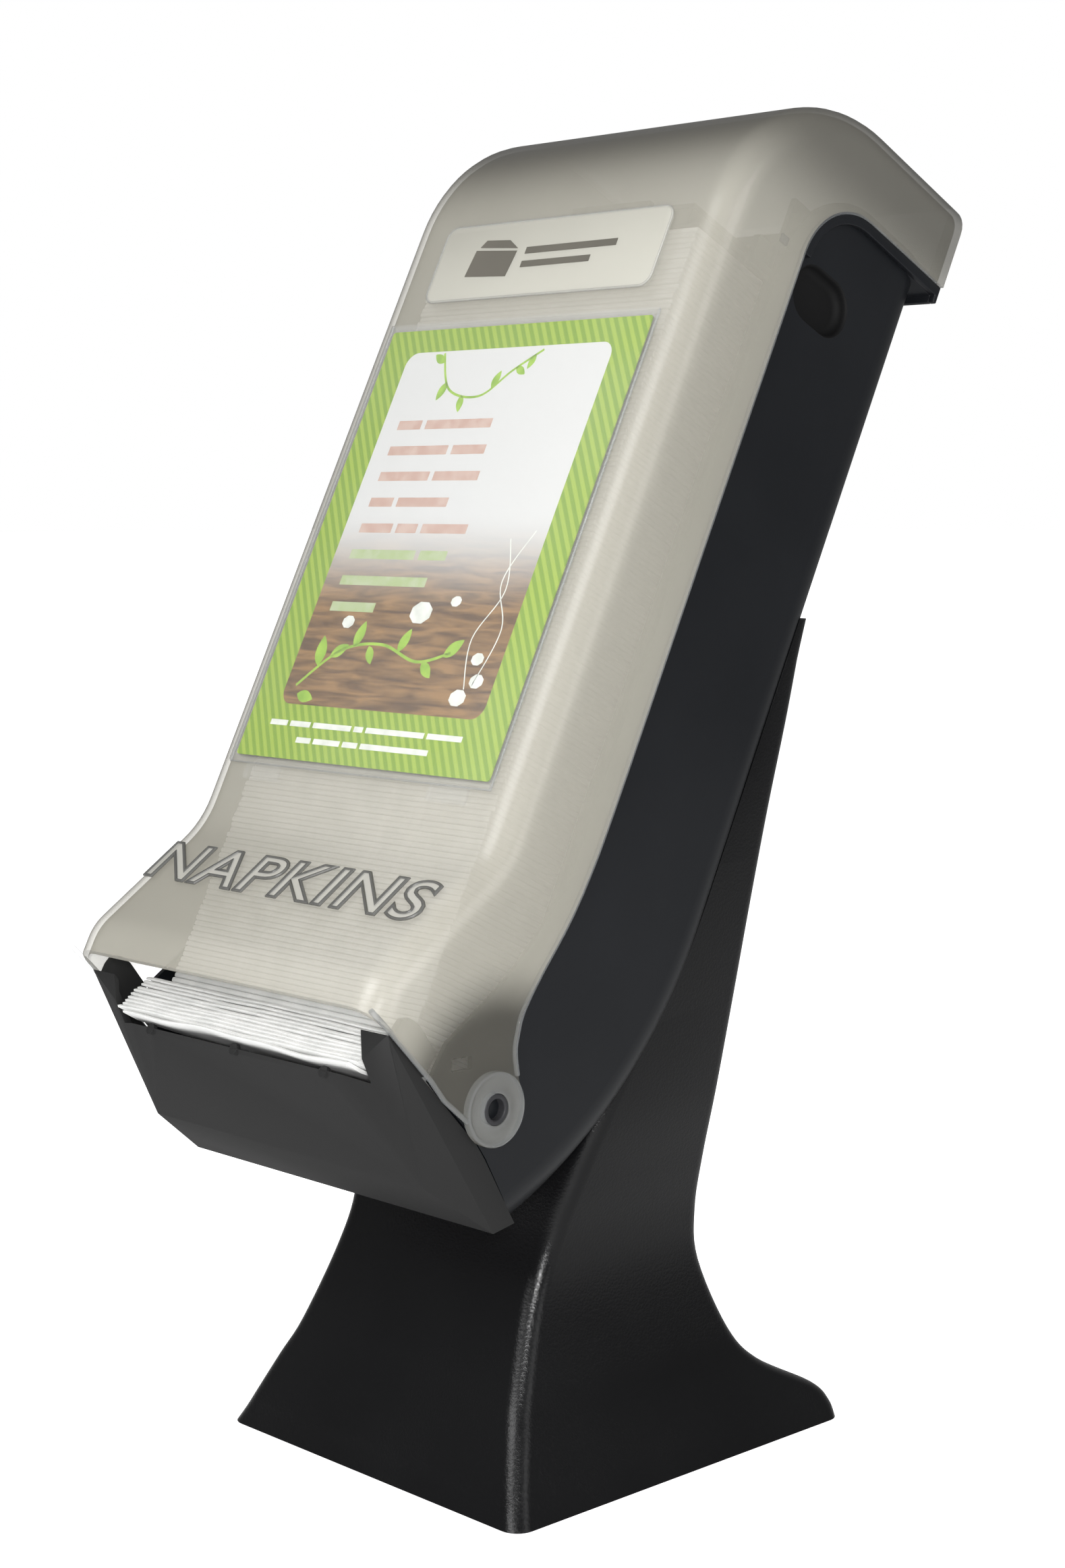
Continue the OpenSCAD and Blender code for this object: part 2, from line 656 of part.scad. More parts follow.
module napkin_stack() color([0.95, 0.95, 0.94]) lean()
    block([-napkin_half_w, napkin_half_w], [stack_s, stack_s + stack_len],
          [napkin_rear_n, napkin_rear_n + napkin_depth]);

// The lowest napkins, fanned forward into the mouth
module mouth_napkins() color([0.97, 0.97, 0.96]) lean() slab(napkin_half_w) polygon([
    at(stack_s - 0.1, 28), at(stack_s - 0.1, 134), at(174, 148), at(170, 152.5), at(160, 154),
    at(155, 156.5), at(154, 155.5), at(154, 148), at(156.6, 108.5), at(163.3, 40), at(167, 34)
]);

stand_shell();
ballast_plate();
ballast_screws();
rubber_feet();
nut_plate();
housing_screws();
trough_housing();
throat_plate();
throat_screws();
feed_tray();
hinge_boss_left();
hinge_boss_right();
guide_rail_left();
guide_rail_right();
rail_screws();
lock_barrel();
lock_nut();
lock_plug();
lock_cam();
cam_screw();
latch_bar();
latch_shoulder_screws();
latch_springs();
cover();
badge_window();
card_holder();
display_card();
follower_plate();
follower_weight();
follower_lid();
follower_lid_screws();
napkin_stack();
mouth_napkins();
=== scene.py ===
import json
import math
import random

import bmesh
import bpy
from mathutils import Matrix, Vector

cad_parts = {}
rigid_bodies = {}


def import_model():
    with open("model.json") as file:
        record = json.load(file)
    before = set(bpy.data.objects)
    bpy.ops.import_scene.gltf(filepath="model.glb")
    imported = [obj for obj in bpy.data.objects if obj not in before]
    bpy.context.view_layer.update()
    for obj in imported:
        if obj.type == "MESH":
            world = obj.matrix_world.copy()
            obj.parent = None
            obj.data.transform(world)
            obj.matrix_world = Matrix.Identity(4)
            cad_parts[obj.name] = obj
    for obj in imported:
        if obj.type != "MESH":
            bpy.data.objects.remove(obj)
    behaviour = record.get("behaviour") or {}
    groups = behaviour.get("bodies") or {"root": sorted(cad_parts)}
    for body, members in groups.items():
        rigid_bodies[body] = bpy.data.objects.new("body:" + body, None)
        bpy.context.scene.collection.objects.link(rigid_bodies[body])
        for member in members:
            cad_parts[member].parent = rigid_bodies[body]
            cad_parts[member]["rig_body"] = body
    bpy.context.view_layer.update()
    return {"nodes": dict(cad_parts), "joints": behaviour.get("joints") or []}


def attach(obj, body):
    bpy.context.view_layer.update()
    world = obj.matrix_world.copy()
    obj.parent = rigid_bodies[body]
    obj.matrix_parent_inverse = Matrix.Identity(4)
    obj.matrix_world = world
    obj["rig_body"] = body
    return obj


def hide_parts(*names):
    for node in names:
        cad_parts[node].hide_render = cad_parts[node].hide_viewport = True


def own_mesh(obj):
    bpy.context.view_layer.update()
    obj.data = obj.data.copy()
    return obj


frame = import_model()
joints = {joint["name"]: joint for joint in frame["joints"]}
nodes = frame["nodes"]


# ---------------------------------------------------------------- Stand
# The stand is one injection-moulded shell in black ABS with a fine leathery grain. It is broad at the
# counter, waisted below the trough, and its top is hollowed to cradle the trough's rounded back.

MM = Matrix.Scale(0.001, 4)
up_slope = Vector(joints["card_slide"]["axis"])
outwards = Vector(joints["key_turn"]["axis"])
hinge = Vector(joints["cover_open"]["pos_m"])
HINGE_S, HINGE_N = 159.9, 96.6
slope_foot = hinge - 0.001 * (HINGE_S * up_slope + HINGE_N * outwards)
# Trough pieces are modelled in millimetres as (x, s, n): across, up the slope, out of the front
LEAN = Matrix.Translation(slope_foot) @ Matrix(
    (Vector((1, 0, 0)), up_slope, outwards)
).transposed().to_4x4() @ MM


def new_material(name):
    material = bpy.data.materials.new(name)
    material.use_nodes = True
    return material


def shader_node(material, kind, settings=None, **inputs):
    """Adds a node. Each input is a value or another node's output socket; an _ stands for a space."""
    node = material.node_tree.nodes.new(kind)
    for name, value in (settings or {}).items():
        setattr(node, name, value)
    fill_inputs(material, node, inputs)
    return node


def feed(material, socket, value):
    if isinstance(value, bpy.types.NodeSocket):
        material.node_tree.links.new(value, socket)
    else:
        socket.default_value = value


def fill_inputs(material, node, inputs):
    for name, value in inputs.items():
        feed(material, node.inputs[name.replace("_", " ")], value)


def maths(material, operation, *values, kind="ShaderNodeMath", output=0):
    """A maths node's output. Each value is a number, a vector or another node's output."""
    node = shader_node(material, kind, {"operation": operation})
    for socket, value in zip(node.inputs, values):
        feed(material, socket, value)
    return node.outputs[output]


def map_range(material, value, start, end, low=0.0, high=1.0, interpolation="LINEAR"):
    """Maps a value from start to end onto low to high."""
    return shader_node(
        material, "ShaderNodeMapRange", {"interpolation_type": interpolation}, Value=value,
        From_Min=start, From_Max=end, To_Min=low, To_Max=high,
    ).outputs["Result"]


def colour_ramp(material, factor, *stops):
    node = shader_node(material, "ShaderNodeValToRGB", Fac=factor)
    ramp = node.color_ramp
    while len(ramp.elements) < len(stops):
        ramp.elements.new(0.5)
    for element, (place, colour) in zip(ramp.elements, stops):
        element.position = place
        element.color = (*colour, 1)
    return node.outputs["Color"]


def moulded_plastic(name, dark, light, roughness, grain_mm, grain_depth_mm):
    """Injection-moulded plastic: a pebbled grain, faint flow marks and a little handling wear."""
    material = new_material(name)
    place = shader_node(material, "ShaderNodeTexCoord").outputs["Object"]
    flow = shader_node(material, "ShaderNodeTexNoise", Vector=place, Scale=9.0, Detail=4.0)
    pebble = shader_node(
        material, "ShaderNodeTexVoronoi", Vector=place, Scale=1000 / grain_mm, Randomness=1.0
    )
    fine = shader_node(
        material, "ShaderNodeTexNoise", Vector=place, Scale=2600 / grain_mm, Detail=3.0
    )
    height = maths(material, "MULTIPLY", pebble.outputs["Distance"], fine.outputs["Fac"])
    bump = shader_node(
        material, "ShaderNodeBump", Height=height, Strength=0.5, Distance=0.001 * grain_depth_mm
    )
    rough = map_range(material, flow.outputs["Fac"], 0, 1, roughness - 0.07, roughness + 0.09)
    fill_inputs(material, material.node_tree.nodes["Principled BSDF"], {
        "Base_Color": colour_ramp(material, flow.outputs["Fac"], (0.3, dark), (0.7, light)),
        "Roughness": rough,
        "Specular_IOR_Level": 0.22,
        "Normal": bump.outputs["Normal"],
    })
    return material


def smooth_faces(mesh, sharp_angle):
    mesh.polygons.foreach_set("use_smooth", [True] * len(mesh.polygons))
    mesh.set_sharp_from_angle(angle=math.radians(sharp_angle))


def make_piece(bm, name, material, place=LEAN, sharp_angle=32):
    bm.transform(place)
    mesh = bpy.data.meshes.new(name)
    bm.to_mesh(mesh)
    bm.free()
    smooth_faces(mesh, sharp_angle)
    mesh.materials.append(material)
    piece = bpy.data.objects.new(name, mesh)
    bpy.context.scene.collection.objects.link(piece)
    return piece


def carve(piece, tool, operation="DIFFERENCE", sharp_angle=32):
    """Cuts a piece with another closed piece, which is used up."""
    modifier = piece.modifiers.new("carve", "BOOLEAN")
    modifier.operation = operation
    modifier.solver = "EXACT"
    modifier.use_self = True
    modifier.object = tool
    bpy.context.view_layer.update()
    seen = piece.evaluated_get(bpy.context.evaluated_depsgraph_get())
    result = bpy.data.meshes.new_from_object(seen)
    piece.modifiers.clear()
    piece.data = result
    smooth_faces(result, sharp_angle)
    bpy.data.objects.remove(tool)
    return piece


def curve_through(points, steps):
    """Catmull-Rom curve through tuples of numbers, with this many steps between two of them."""
    ends = [points[0], *points, points[-1]]
    result = []
    for a, b, c, d in zip(ends, ends[1:], ends[2:], ends[3:]):
        for k in range(steps):
            t = k / steps
            result.append(tuple(
                0.5 * (2 * q + (r - p) * t + (2 * p - 5 * q + 4 * r - w) * t * t
                       + (3 * q - p - 3 * r + w) * t ** 3)
                for p, q, r, w in zip(a, b, c, d)
            ))
    return result + [points[-1]]


def arc(centre_s, centre_n, radius, start, end, steps=16):
    """Points on a round run of a side outline: 0 degrees points out of the front, 90 up the slope."""
    angles = [math.radians(start + (end - start) * i / steps) for i in range(steps + 1)]
    return [(centre_s + radius * math.sin(a), centre_n + radius * math.cos(a)) for a in angles]


def slab(outline, half_w, on_round=None, radius=0.0, segments=8):
    """A side outline of (s, n) made solid across the width, with the edges that on_round picks rounded."""
    bm = bmesh.new()
    face = bm.faces.new([bm.verts.new((-half_w, s, n)) for s, n in outline])
    grown = bmesh.ops.extrude_face_region(bm, geom=[face])
    moved = [part for part in grown["geom"] if isinstance(part, bmesh.types.BMVert)]
    bmesh.ops.translate(bm, verts=moved, vec=(2 * half_w, 0, 0))
    bmesh.ops.recalc_face_normals(bm, faces=bm.faces)
    if on_round:
        picked = [
            edge for edge in bm.edges
            if abs(edge.verts[0].co.x - edge.verts[1].co.x) < 0.001
            and all(on_round(vert.co.y, vert.co.z) for vert in edge.verts)
        ]
        bmesh.ops.bevel(
            bm, geom=picked, offset=radius, segments=segments, profile=0.5, affect="EDGES",
            material=-1, clamp_overlap=False,
        )
    return bm


BACK_N = 2.0                   # outside of the trough's back
BEND_S, BEND_R = 270.0, 230.0  # where the back starts to curve forward, and its radius
TROUGH_HALF_W, BACK_ROUND = 99.8, 19.0


def trough_core(inset):
    """The trough made solid, shrunk by inset: straight above, then curving forward at the bottom."""
    centre_n = BACK_N + BEND_R
    bend = arc(BEND_S, centre_n, BEND_R - inset, 180, 223, 30)
    front = 140 + 2 * inset
    outline = [(620 + inset, front), (620 + inset, BACK_N + inset), *bend, (90 - inset, front)]
    half_w = TROUGH_HALF_W - inset
    return slab(
        outline, half_w, lambda s, n: n < front - 1 and s < 700, BACK_ROUND - inset, 10
    )


STAND_SHIFT = 1.8
# Height, half width, front and rear of the stand's outline
stand_levels = [
    (1.2, 98.4, -105.7, 106.3), (8.4, 94.6, -102.5, 106), (16.8, 90.8, -99, 98.5),
    (33.6, 83.6, -91.4, 68), (50.4, 76.6, -83.2, 54.4), (84, 68.6, -68.6, 42.4),
    (108, 68, -58.2, 40.8), (134.4, 74.7, -51, 38.6), (168, 84, -41, 37.4),
    (210, 90, -20, 41.5), (252, 94.2, 1, 47.5), (294, 96.3, 22, 56.5),
    (336, 96.8, 43, 68.5), (378, 97, 64, 79.4),
]


def stand_form(inset, top=400):
    bm = bmesh.new()
    loops = []
    for z, half_w, front, rear in curve_through(stand_levels, 6):
        if z > top:
            break
        radius = min(9, 0.46 * (rear - front)) - inset
        x = half_w - inset - radius
        near, far = front + inset + radius + STAND_SHIFT, rear - inset - radius + STAND_SHIFT
        corners = ((x, far, 0), (-x, far, 90), (-x, near, 180), (x, near, 270))
        ring = [
            bm.verts.new((cx + radius * math.cos(a), cy + radius * math.sin(a), z))
            for cx, cy, start in corners
            for a in [math.radians(start + 90 * k / 8) for k in range(9)]
        ]
        loops.append([bm.edges.new((ring[i - 1], ring[i])) for i in range(len(ring))])
    for lower, upper in zip(loops, loops[1:]):
        bmesh.ops.bridge_loops(bm, edges=lower + upper)
    bmesh.ops.holes_fill(bm, edges=loops[0] + loops[-1])
    bmesh.ops.recalc_face_normals(bm, faces=bm.faces)
    return bm


black_grain = moulded_plastic(
    "black_grained_plastic", (0.0030, 0.0030, 0.0034), (0.0045, 0.0046, 0.0050), 0.25, 1.3, 0.22
)
stand = make_piece(stand_form(0), "stand_shell_moulding", black_grain, MM, 40)
hollow = stand_form(3.2, 190)
bmesh.ops.translate(hollow, verts=hollow.verts, vec=(0, 0, -0.5))
carve(stand, make_piece(hollow, "tool", black_grain, MM), sharp_angle=40)
carve(stand, make_piece(trough_core(-0.3), "tool", black_grain), sharp_angle=40)
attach(stand, "stand_and_trough")
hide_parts("stand_shell")


# ---------------------------------------------------------------- Trough housing
# The trough is a deep shell in the same black plastic, satin outside, screwed down on the stand. Its side
# walls carry a finger scoop near the top and a small slanted window near the mouth.

WALL = 2.4
WALL_TOP_S, WALL_EDGE_N, WALL_TOP_R = 598.0, 96.0, 45.0
SCOOP_S, SCOOP_N, SCOOP_R, SCOOP_DEPTH = 546.7, (59.5, 72.0), 12.3, 6.0
SHELF_S, SHELF_T, SHELF_REAR_N, SHELF_ARC = 592.9, 4.9, -4.0, (558.5, 53.2)
FLANGE_HALF_W = 102.6


def box_solid(x, s, n, bevel=0.0, segments=3):
    """A block with softened edges, given as ranges in millimetres."""
    bm = bmesh.new()
    bmesh.ops.create_cube(bm, size=1)
    size = [b - a for a, b in (x, s, n)]
    bmesh.ops.scale(bm, verts=bm.verts, vec=size)
    bmesh.ops.translate(bm, verts=bm.verts, vec=[(a + b) / 2 for a, b in (x, s, n)])
    if bevel:
        bmesh.ops.bevel(
            bm, geom=bm.edges, offset=bevel, segments=segments, profile=0.5, affect="EDGES",
            material=-1,
        )
    return bm


def join_mesh(bm, other, place=Matrix.Identity(4)):
    """Adds a copy of another bmesh, moved by a matrix, and frees the other one."""
    mesh = bpy.data.meshes.new("joined")
    other.transform(place)
    other.to_mesh(mesh)
    other.free()
    bm.from_mesh(mesh)
    bpy.data.meshes.remove(mesh)
    return bm


def scoop_form(rings):
    """A slot with round ends on the right side, built from (x, radius) rings from its floor outwards."""
    bm = bmesh.new()
    loops = []
    for x, reach in rings:
        ring = [
            bm.verts.new((
                x, SCOOP_S + reach * math.sin(math.radians(turn + 15 * k)),
                n + reach * math.cos(math.radians(turn + 15 * k)),
            ))
            for n, turn in zip(SCOOP_N, (90, -90)) for k in range(13)
        ]
        loops.append(ring)
    for lower, upper in zip(loops, loops[1:]):
        for i in range(len(lower)):
            bm.faces.new((lower[i - 1], lower[i], upper[i], upper[i - 1]))
    bm.faces.new(loops[0])
    bm.faces.new(loops[-1])
    bmesh.ops.recalc_face_normals(bm, faces=bm.faces)
    return bm


satin_black = moulded_plastic(
    "satin_black_plastic", (0.0055, 0.0062, 0.0076), (0.0085, 0.0094, 0.0112), 0.34, 1.6, 0.03
)
lower_edge = curve_through([
    (255, WALL_EDGE_N), (224.3, 105.8), (206.6, 113.4), (190.7, 122.6), (176, 131)
], 5)
throat_seam = [(159.4, 133), (144.5, 97.2), (140.4, 90), (129.5, 74.6), (121, 62), (112, 50), (90, 0)]
wall_outline = [
    (WALL_TOP_S, -3), (WALL_TOP_S, WALL_EDGE_N - WALL_TOP_R),
    *arc(WALL_TOP_S - WALL_TOP_R, WALL_EDGE_N - WALL_TOP_R, WALL_TOP_R, 90, 0)[1:],
    *lower_edge, *throat_seam, (90, -3),
]
housing = make_piece(trough_core(0), "trough_housing_moulding", satin_black)
carve(housing, make_piece(trough_core(WALL), "tool", satin_black))
carve(housing, make_piece(slab(wall_outline, TROUGH_HALF_W + 2), "tool", satin_black), "INTERSECT")
windows, pockets, scoops = bmesh.new(), bmesh.new(), bmesh.new()
for side in (1, -1):
    window = box_solid((90, 105), (-2.6, 2.6), (-5.4, 5.4), 0.4)
    window.transform(Matrix.Translation((0, 171.3, 119.8)) @ Matrix.Rotation(math.radians(25.6), 4, "X"))
    pocket = scoop_form([
        (TROUGH_HALF_W - SCOOP_DEPTH - WALL, SCOOP_R), (TROUGH_HALF_W - SCOOP_DEPTH, SCOOP_R + WALL),
        (TROUGH_HALF_W - 0.7, SCOOP_R + WALL),
    ])
    floor_x = TROUGH_HALF_W - SCOOP_DEPTH
    scoop = scoop_form([
        *[
            (floor_x + 3.4 - 3.4 * math.cos(a), SCOOP_R - 3.4 + 3.4 * math.sin(a))
            for a in [math.radians(18 * k) for k in range(6)]
        ],
        (TROUGH_HALF_W - 1.1, SCOOP_R), (TROUGH_HALF_W - 0.3, SCOOP_R + 0.4),
        (TROUGH_HALF_W + 0.5, SCOOP_R + 1.6),
    ])
    for tools, tool in ((windows, window), (pockets, pocket), (scoops, scoop)):
        tool.transform(Matrix.Scale(side, 4, (1, 0, 0)))
        if side < 0:
            bmesh.ops.reverse_faces(tool, faces=tool.faces)
        join_mesh(tools, tool)
for tools, operation in ((windows, "DIFFERENCE"), (pockets, "UNION"), (scoops, "DIFFERENCE")):
    carve(housing, make_piece(tools, "tool", satin_black), operation)
# The scoop's inner faces get a rougher black that is also much darker: the darker colour is painted shade for
# the shadow inside the pocket
housing.data.materials.append(
    moulded_plastic("scoop_painted_shade_black", (0.0012, 0.0012, 0.0014), (0.002, 0.002, 0.0022), 0.7, 0.8, 0.06)
)
in_trough = LEAN.inverted()
for face in housing.data.polygons:
    x, s, n = in_trough @ face.center
    if 91 < abs(x) < 99.7 and abs(s - SCOOP_S) < SCOOP_R + 1 and 46 < n < 86:
        face.material_index = 1
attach(housing, "stand_and_trough")
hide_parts("trough_housing")


# The end shelf closes the trough's top between its walls. Its flange follows the cover's edge outside the
# walls, and a hooked lip along the rear stiffens it. It is moulded in one with the housing.
def shelf_outline(front):
    outer = [p for p in arc(*SHELF_ARC, SHELF_S - SHELF_ARC[0], 0, 90) if p[1] <= front]
    inner = [p for p in arc(*SHELF_ARC, SHELF_S - SHELF_T - SHELF_ARC[0], 90, 0) if p[1] <= front]
    hook_n = SHELF_REAR_N + 2.2
    return [
        *outer, (SHELF_S, SHELF_REAR_N), (SHELF_S - 8.4, SHELF_REAR_N), (SHELF_S - 8.4, hook_n),
        (SHELF_S - SHELF_T, hook_n), *inner,
    ]


shelf = slab(shelf_outline(54), TROUGH_HALF_W - 0.3)
for side in (1, -1):
    flange = slab(shelf_outline(200), (FLANGE_HALF_W - TROUGH_HALF_W + 0.4) / 2)
    across = side * (FLANGE_HALF_W + TROUGH_HALF_W - 0.4) / 2
    join_mesh(shelf, flange, Matrix.Translation((across, 0, 0)))
bmesh.ops.bevel(
    shelf, geom=[edge for edge in shelf.edges if edge.calc_face_angle(0) > 1.2], offset=0.5,
    segments=3, profile=0.5, affect="EDGES", material=-1,
)
end_shelf = make_piece(shelf, "trough_end_shelf", satin_black)
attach(end_shelf, "stand_and_trough")


# ---------------------------------------------------------------- Throat
# The throat is a separate matt black bucket under the mouth, bolted inside the trough's lower edge. Its
# bottom is chamfered, its front edge is the lip the napkins rest on, and two ears stand up at the ends.

def eased_copy(node, name, material, width, segments=3, angle=25):
    """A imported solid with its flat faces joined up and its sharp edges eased, in place of the plain one."""
    bm = bmesh.new()
    bm.from_mesh(nodes[node].data)
    bmesh.ops.remove_doubles(bm, verts=bm.verts, dist=2e-6)
    bmesh.ops.dissolve_limit(
        bm, angle_limit=math.radians(1), verts=bm.verts, edges=bm.edges, use_dissolve_boundaries=False
    )
    sharp = [edge for edge in bm.edges if edge.calc_face_angle(0) > math.radians(angle)]
    bmesh.ops.bevel(
        bm, geom=sharp, offset=width, segments=segments, profile=0.5, affect="EDGES", material=-1,
        clamp_overlap=True,
    )
    piece = make_piece(bm, name, material, Matrix.Identity(4), 50)
    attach(piece, nodes[node]["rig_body"])
    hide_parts(node)
    return piece


matt_black = moulded_plastic(
    "matt_black_plastic", (0.012, 0.012, 0.012), (0.016, 0.016, 0.016), 0.62, 1.4, 0.05
)
throat = eased_copy("throat_plate", "throat_bucket", matt_black, 0.0007)
feed_tray = eased_copy("feed_tray", "feed_tray_shelf", matt_black, 0.0006)


# ---------------------------------------------------------------- Small metal and moulded hardware
# Screws, ballast, lock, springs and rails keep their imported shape. Each gets the finish that such a piece
# has: zinc-plated or brushed steel, black rubber, or grey-black moulded plastic.

def machined_metal(name, colour, roughness, scratch_scale, metallic=1.0):
    material = new_material(name)
    place = shader_node(material, "ShaderNodeTexCoord").outputs["Object"]
    stretch = shader_node(material, "ShaderNodeMapping", Vector=place, Scale=(1.0, 1.0, 0.08))
    scratches = shader_node(
        material, "ShaderNodeTexNoise", Vector=stretch.outputs["Vector"], Scale=scratch_scale,
        Detail=6.0, Roughness=0.7,
    )
    tarnish = shader_node(material, "ShaderNodeTexNoise", Vector=place, Scale=60.0, Detail=3.0)
    rough = shader_node(
        material, "ShaderNodeMapRange", Value=scratches.outputs["Fac"],
        To_Min=roughness - 0.1, To_Max=roughness + 0.15,
    )
    bump = shader_node(
        material, "ShaderNodeBump", Height=scratches.outputs["Fac"], Strength=0.25, Distance=0.00005
    )
    darker = tuple(0.7 * channel for channel in colour)
    fill_inputs(material, material.node_tree.nodes["Principled BSDF"], {
        "Base_Color": colour_ramp(material, tarnish.outputs["Fac"], (0.35, darker), (0.6, colour)),
        "Roughness": rough.outputs["Result"],
        "Metallic": metallic,
        "Normal": bump.outputs["Normal"],
    })
    return material


zinc = machined_metal("zinc_plated_steel", (0.58, 0.59, 0.6), 0.34, 900)
brushed_steel = machined_metal("brushed_steel", (0.5, 0.5, 0.51), 0.38, 1600)
cast_iron = machined_metal("painted_cast_iron", (0.09, 0.09, 0.095), 0.6, 300, 0.4)
brass = machined_metal("plated_brass", (0.62, 0.5, 0.28), 0.3, 900)
rubber = moulded_plastic("black_rubber", (0.012, 0.012, 0.012), (0.018, 0.018, 0.018), 0.8, 0.8, 0.05)
grey_black = moulded_plastic(
    "grey_black_plastic", (0.022, 0.022, 0.024), (0.03, 0.03, 0.032), 0.48, 1.5, 0.04
)
finishes = {
    zinc: (
        "ballast_screws", "housing_screws", "throat_screws", "rail_screws", "cam_screw",
        "latch_shoulder_screws", "follower_lid_screws",
    ),
    brushed_steel: ("nut_plate", "lock_cam", "lock_plug", "lock_barrel"),
    cast_iron: ("ballast_plate", "follower_weight"),
    brass: ("lock_nut",),
    rubber: ("rubber_feet",),
}
for finish, names in finishes.items():
    for name in names:
        nodes[name].data.materials.clear()
        nodes[name].data.materials.append(finish)
        smooth_faces(nodes[name].data, 32)
eased = (
    ("latch_bar", "latch_bar_moulding", "latch", 0.0004),
    ("guide_rail_left", "left_guide_rail", "rail", 0.0005),
    ("guide_rail_right", "right_guide_rail", "rail", 0.0005),
    ("follower_plate", "follower_box", "follower", 0.0006),
    ("follower_lid", "follower_box_lid", "follower", 0.0006),
    ("hinge_boss_left", "left_hinge_boss", "boss", 0.0007),
    ("hinge_boss_right", "right_hinge_boss", "boss", 0.0007),
)
for node, name, finish, width in eased:
    eased_copy(node, name, grey_black, width)


def bead(path, radius, name, material, body, closed=False):
    """A round bead or wire along a path of (x, s, n) points, with closed ends."""
    data = bpy.data.curves.new(name, "CURVE")
    data.dimensions = "3D"
    data.bevel_depth = 0.001 * radius
    data.bevel_resolution = 3
    data.use_fill_caps = True
    spline = data.splines.new("POLY")
    spline.points.add(len(path) - 1)
    spline.use_cyclic_u = closed
    for point, place in zip(spline.points, path):
        point.co = (*(LEAN @ Vector(place)), 1)
    curve = bpy.data.objects.new(name, data)
    bpy.context.scene.collection.objects.link(curve)
    bpy.context.view_layer.update()
    mesh = bpy.data.meshes.new_from_object(curve.evaluated_get(bpy.context.evaluated_depsgraph_get()))
    bpy.data.objects.remove(curve)
    smooth_faces(mesh, 60)
    mesh.materials.clear()
    mesh.materials.append(material)
    piece = bpy.data.objects.new(name, mesh)
    bpy.context.scene.collection.objects.link(piece)
    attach(piece, body)
    return piece


# Two closed-end coil springs press the latch bar down, and the key lifts the bar against them.
SPRING_S, SPRING_N, SPRING_COILS = (574.1, 587.9), 9.5, 6
for x, label in ((-35, "left"), (35, "right")):
    wire = []
    for k in range(SPRING_COILS * 20 + 1):
        turn = k / 20
        climb = min(max((turn - 0.75) / (SPRING_COILS - 1.5), 0), 1)
        low, high = SPRING_S[0] + 0.45, SPRING_S[1] - 0.45
        height = low + (high - low) * climb
        angle = math.tau * turn
        wire.append((x + 3.4 * math.cos(angle), height, SPRING_N + 3.4 * math.sin(angle)))
    spring = bead(wire, 0.42, f"latch_spring_{label}", brushed_steel, "stand_and_trough")
    if x < 0:
        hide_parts("latch_springs")
    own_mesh(spring)


# ---------------------------------------------------------------- Napkins
# Interfolded paper napkins, pressed into a block by the follower. Each fold shows as a fine line on the
# block's sides; the lowest ones lean forward into the mouth, where the first hangs loose at the lip.

def tissue(name, colour, shade):
    material = new_material(name)
    place = shader_node(material, "ShaderNodeTexCoord").outputs["Object"]
    dimple = shader_node(
        material, "ShaderNodeTexVoronoi", Vector=place, Scale=620.0, Randomness=0.6
    )
    fibre = shader_node(material, "ShaderNodeTexNoise", Vector=place, Scale=1500.0, Detail=5.0)
    # Soft patches darken the paper: painted shade of crumples, not a colour of the paper
    mottled_paper_shade = shader_node(material, "ShaderNodeTexNoise", Vector=place, Scale=70.0, Detail=4.0)
    embossed = shader_node(
        material, "ShaderNodeBump", Height=dimple.outputs["Distance"], Strength=0.35, Distance=0.0002
    )
    bump = shader_node(
        material, "ShaderNodeBump", Height=fibre.outputs["Fac"], Strength=0.3, Distance=0.0002,
        Normal=embossed.outputs["Normal"],
    )
    fill_inputs(material, material.node_tree.nodes["Principled BSDF"], {
        "Base_Color": colour_ramp(material, mottled_paper_shade.outputs["Fac"], (0.35, shade), (0.6, colour)),
        "Roughness": 0.92,
        "Sheen_Weight": 0.15,
        "Normal": bump.outputs["Normal"],
    })
    return material


random.seed(7)
paper = tissue("white_tissue_paper", (0.74, 0.74, 0.725), (0.66, 0.665, 0.65))
NAPKIN_HALF_W, STACK_REAR, STACK_FRONT = 82.5, 26.0, 134.0
STACK_START, STACK_END, BUNDLE = 176.2, 546.2, 2.5
stack = bmesh.new()
count = int((STACK_END - STACK_START) / BUNDLE)
for i in range(count):
    base = STACK_START + (STACK_END - STACK_START) * i / count
    slip = [random.uniform(0, 0.9) for _ in range(4)]
    bundle = box_solid(
        (-NAPKIN_HALF_W + slip[0], NAPKIN_HALF_W - slip[1]), (base + 0.05, base + BUNDLE - 0.05),
        (STACK_REAR + slip[2], STACK_FRONT - slip[3]), 0.8, 2,
    )
    join_mesh(stack, bundle)
napkin_stack = make_piece(stack, "napkin_stack_folds", paper, sharp_angle=80)
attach(napkin_stack, "stand_and_trough")
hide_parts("napkin_stack")
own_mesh(napkin_stack)

# Lower and upper side outline of the fan of napkins in the mouth, from its front edge to the rear
fan_bottom = [(154.9, 157), (154.2, 148), (157, 108.5), (160.5, 74), (163.6, 40), (167.6, 34)]
fan_top = [(174.2, 146), (175.4, 140), (176, 116), (176, 80), (176, 40), (176, 30)]
FAN_COUNT = 11


def between(low, high, share):
    return [tuple(a + (b - a) * share for a, b in zip(p, q)) for p, q in zip(low, high)]


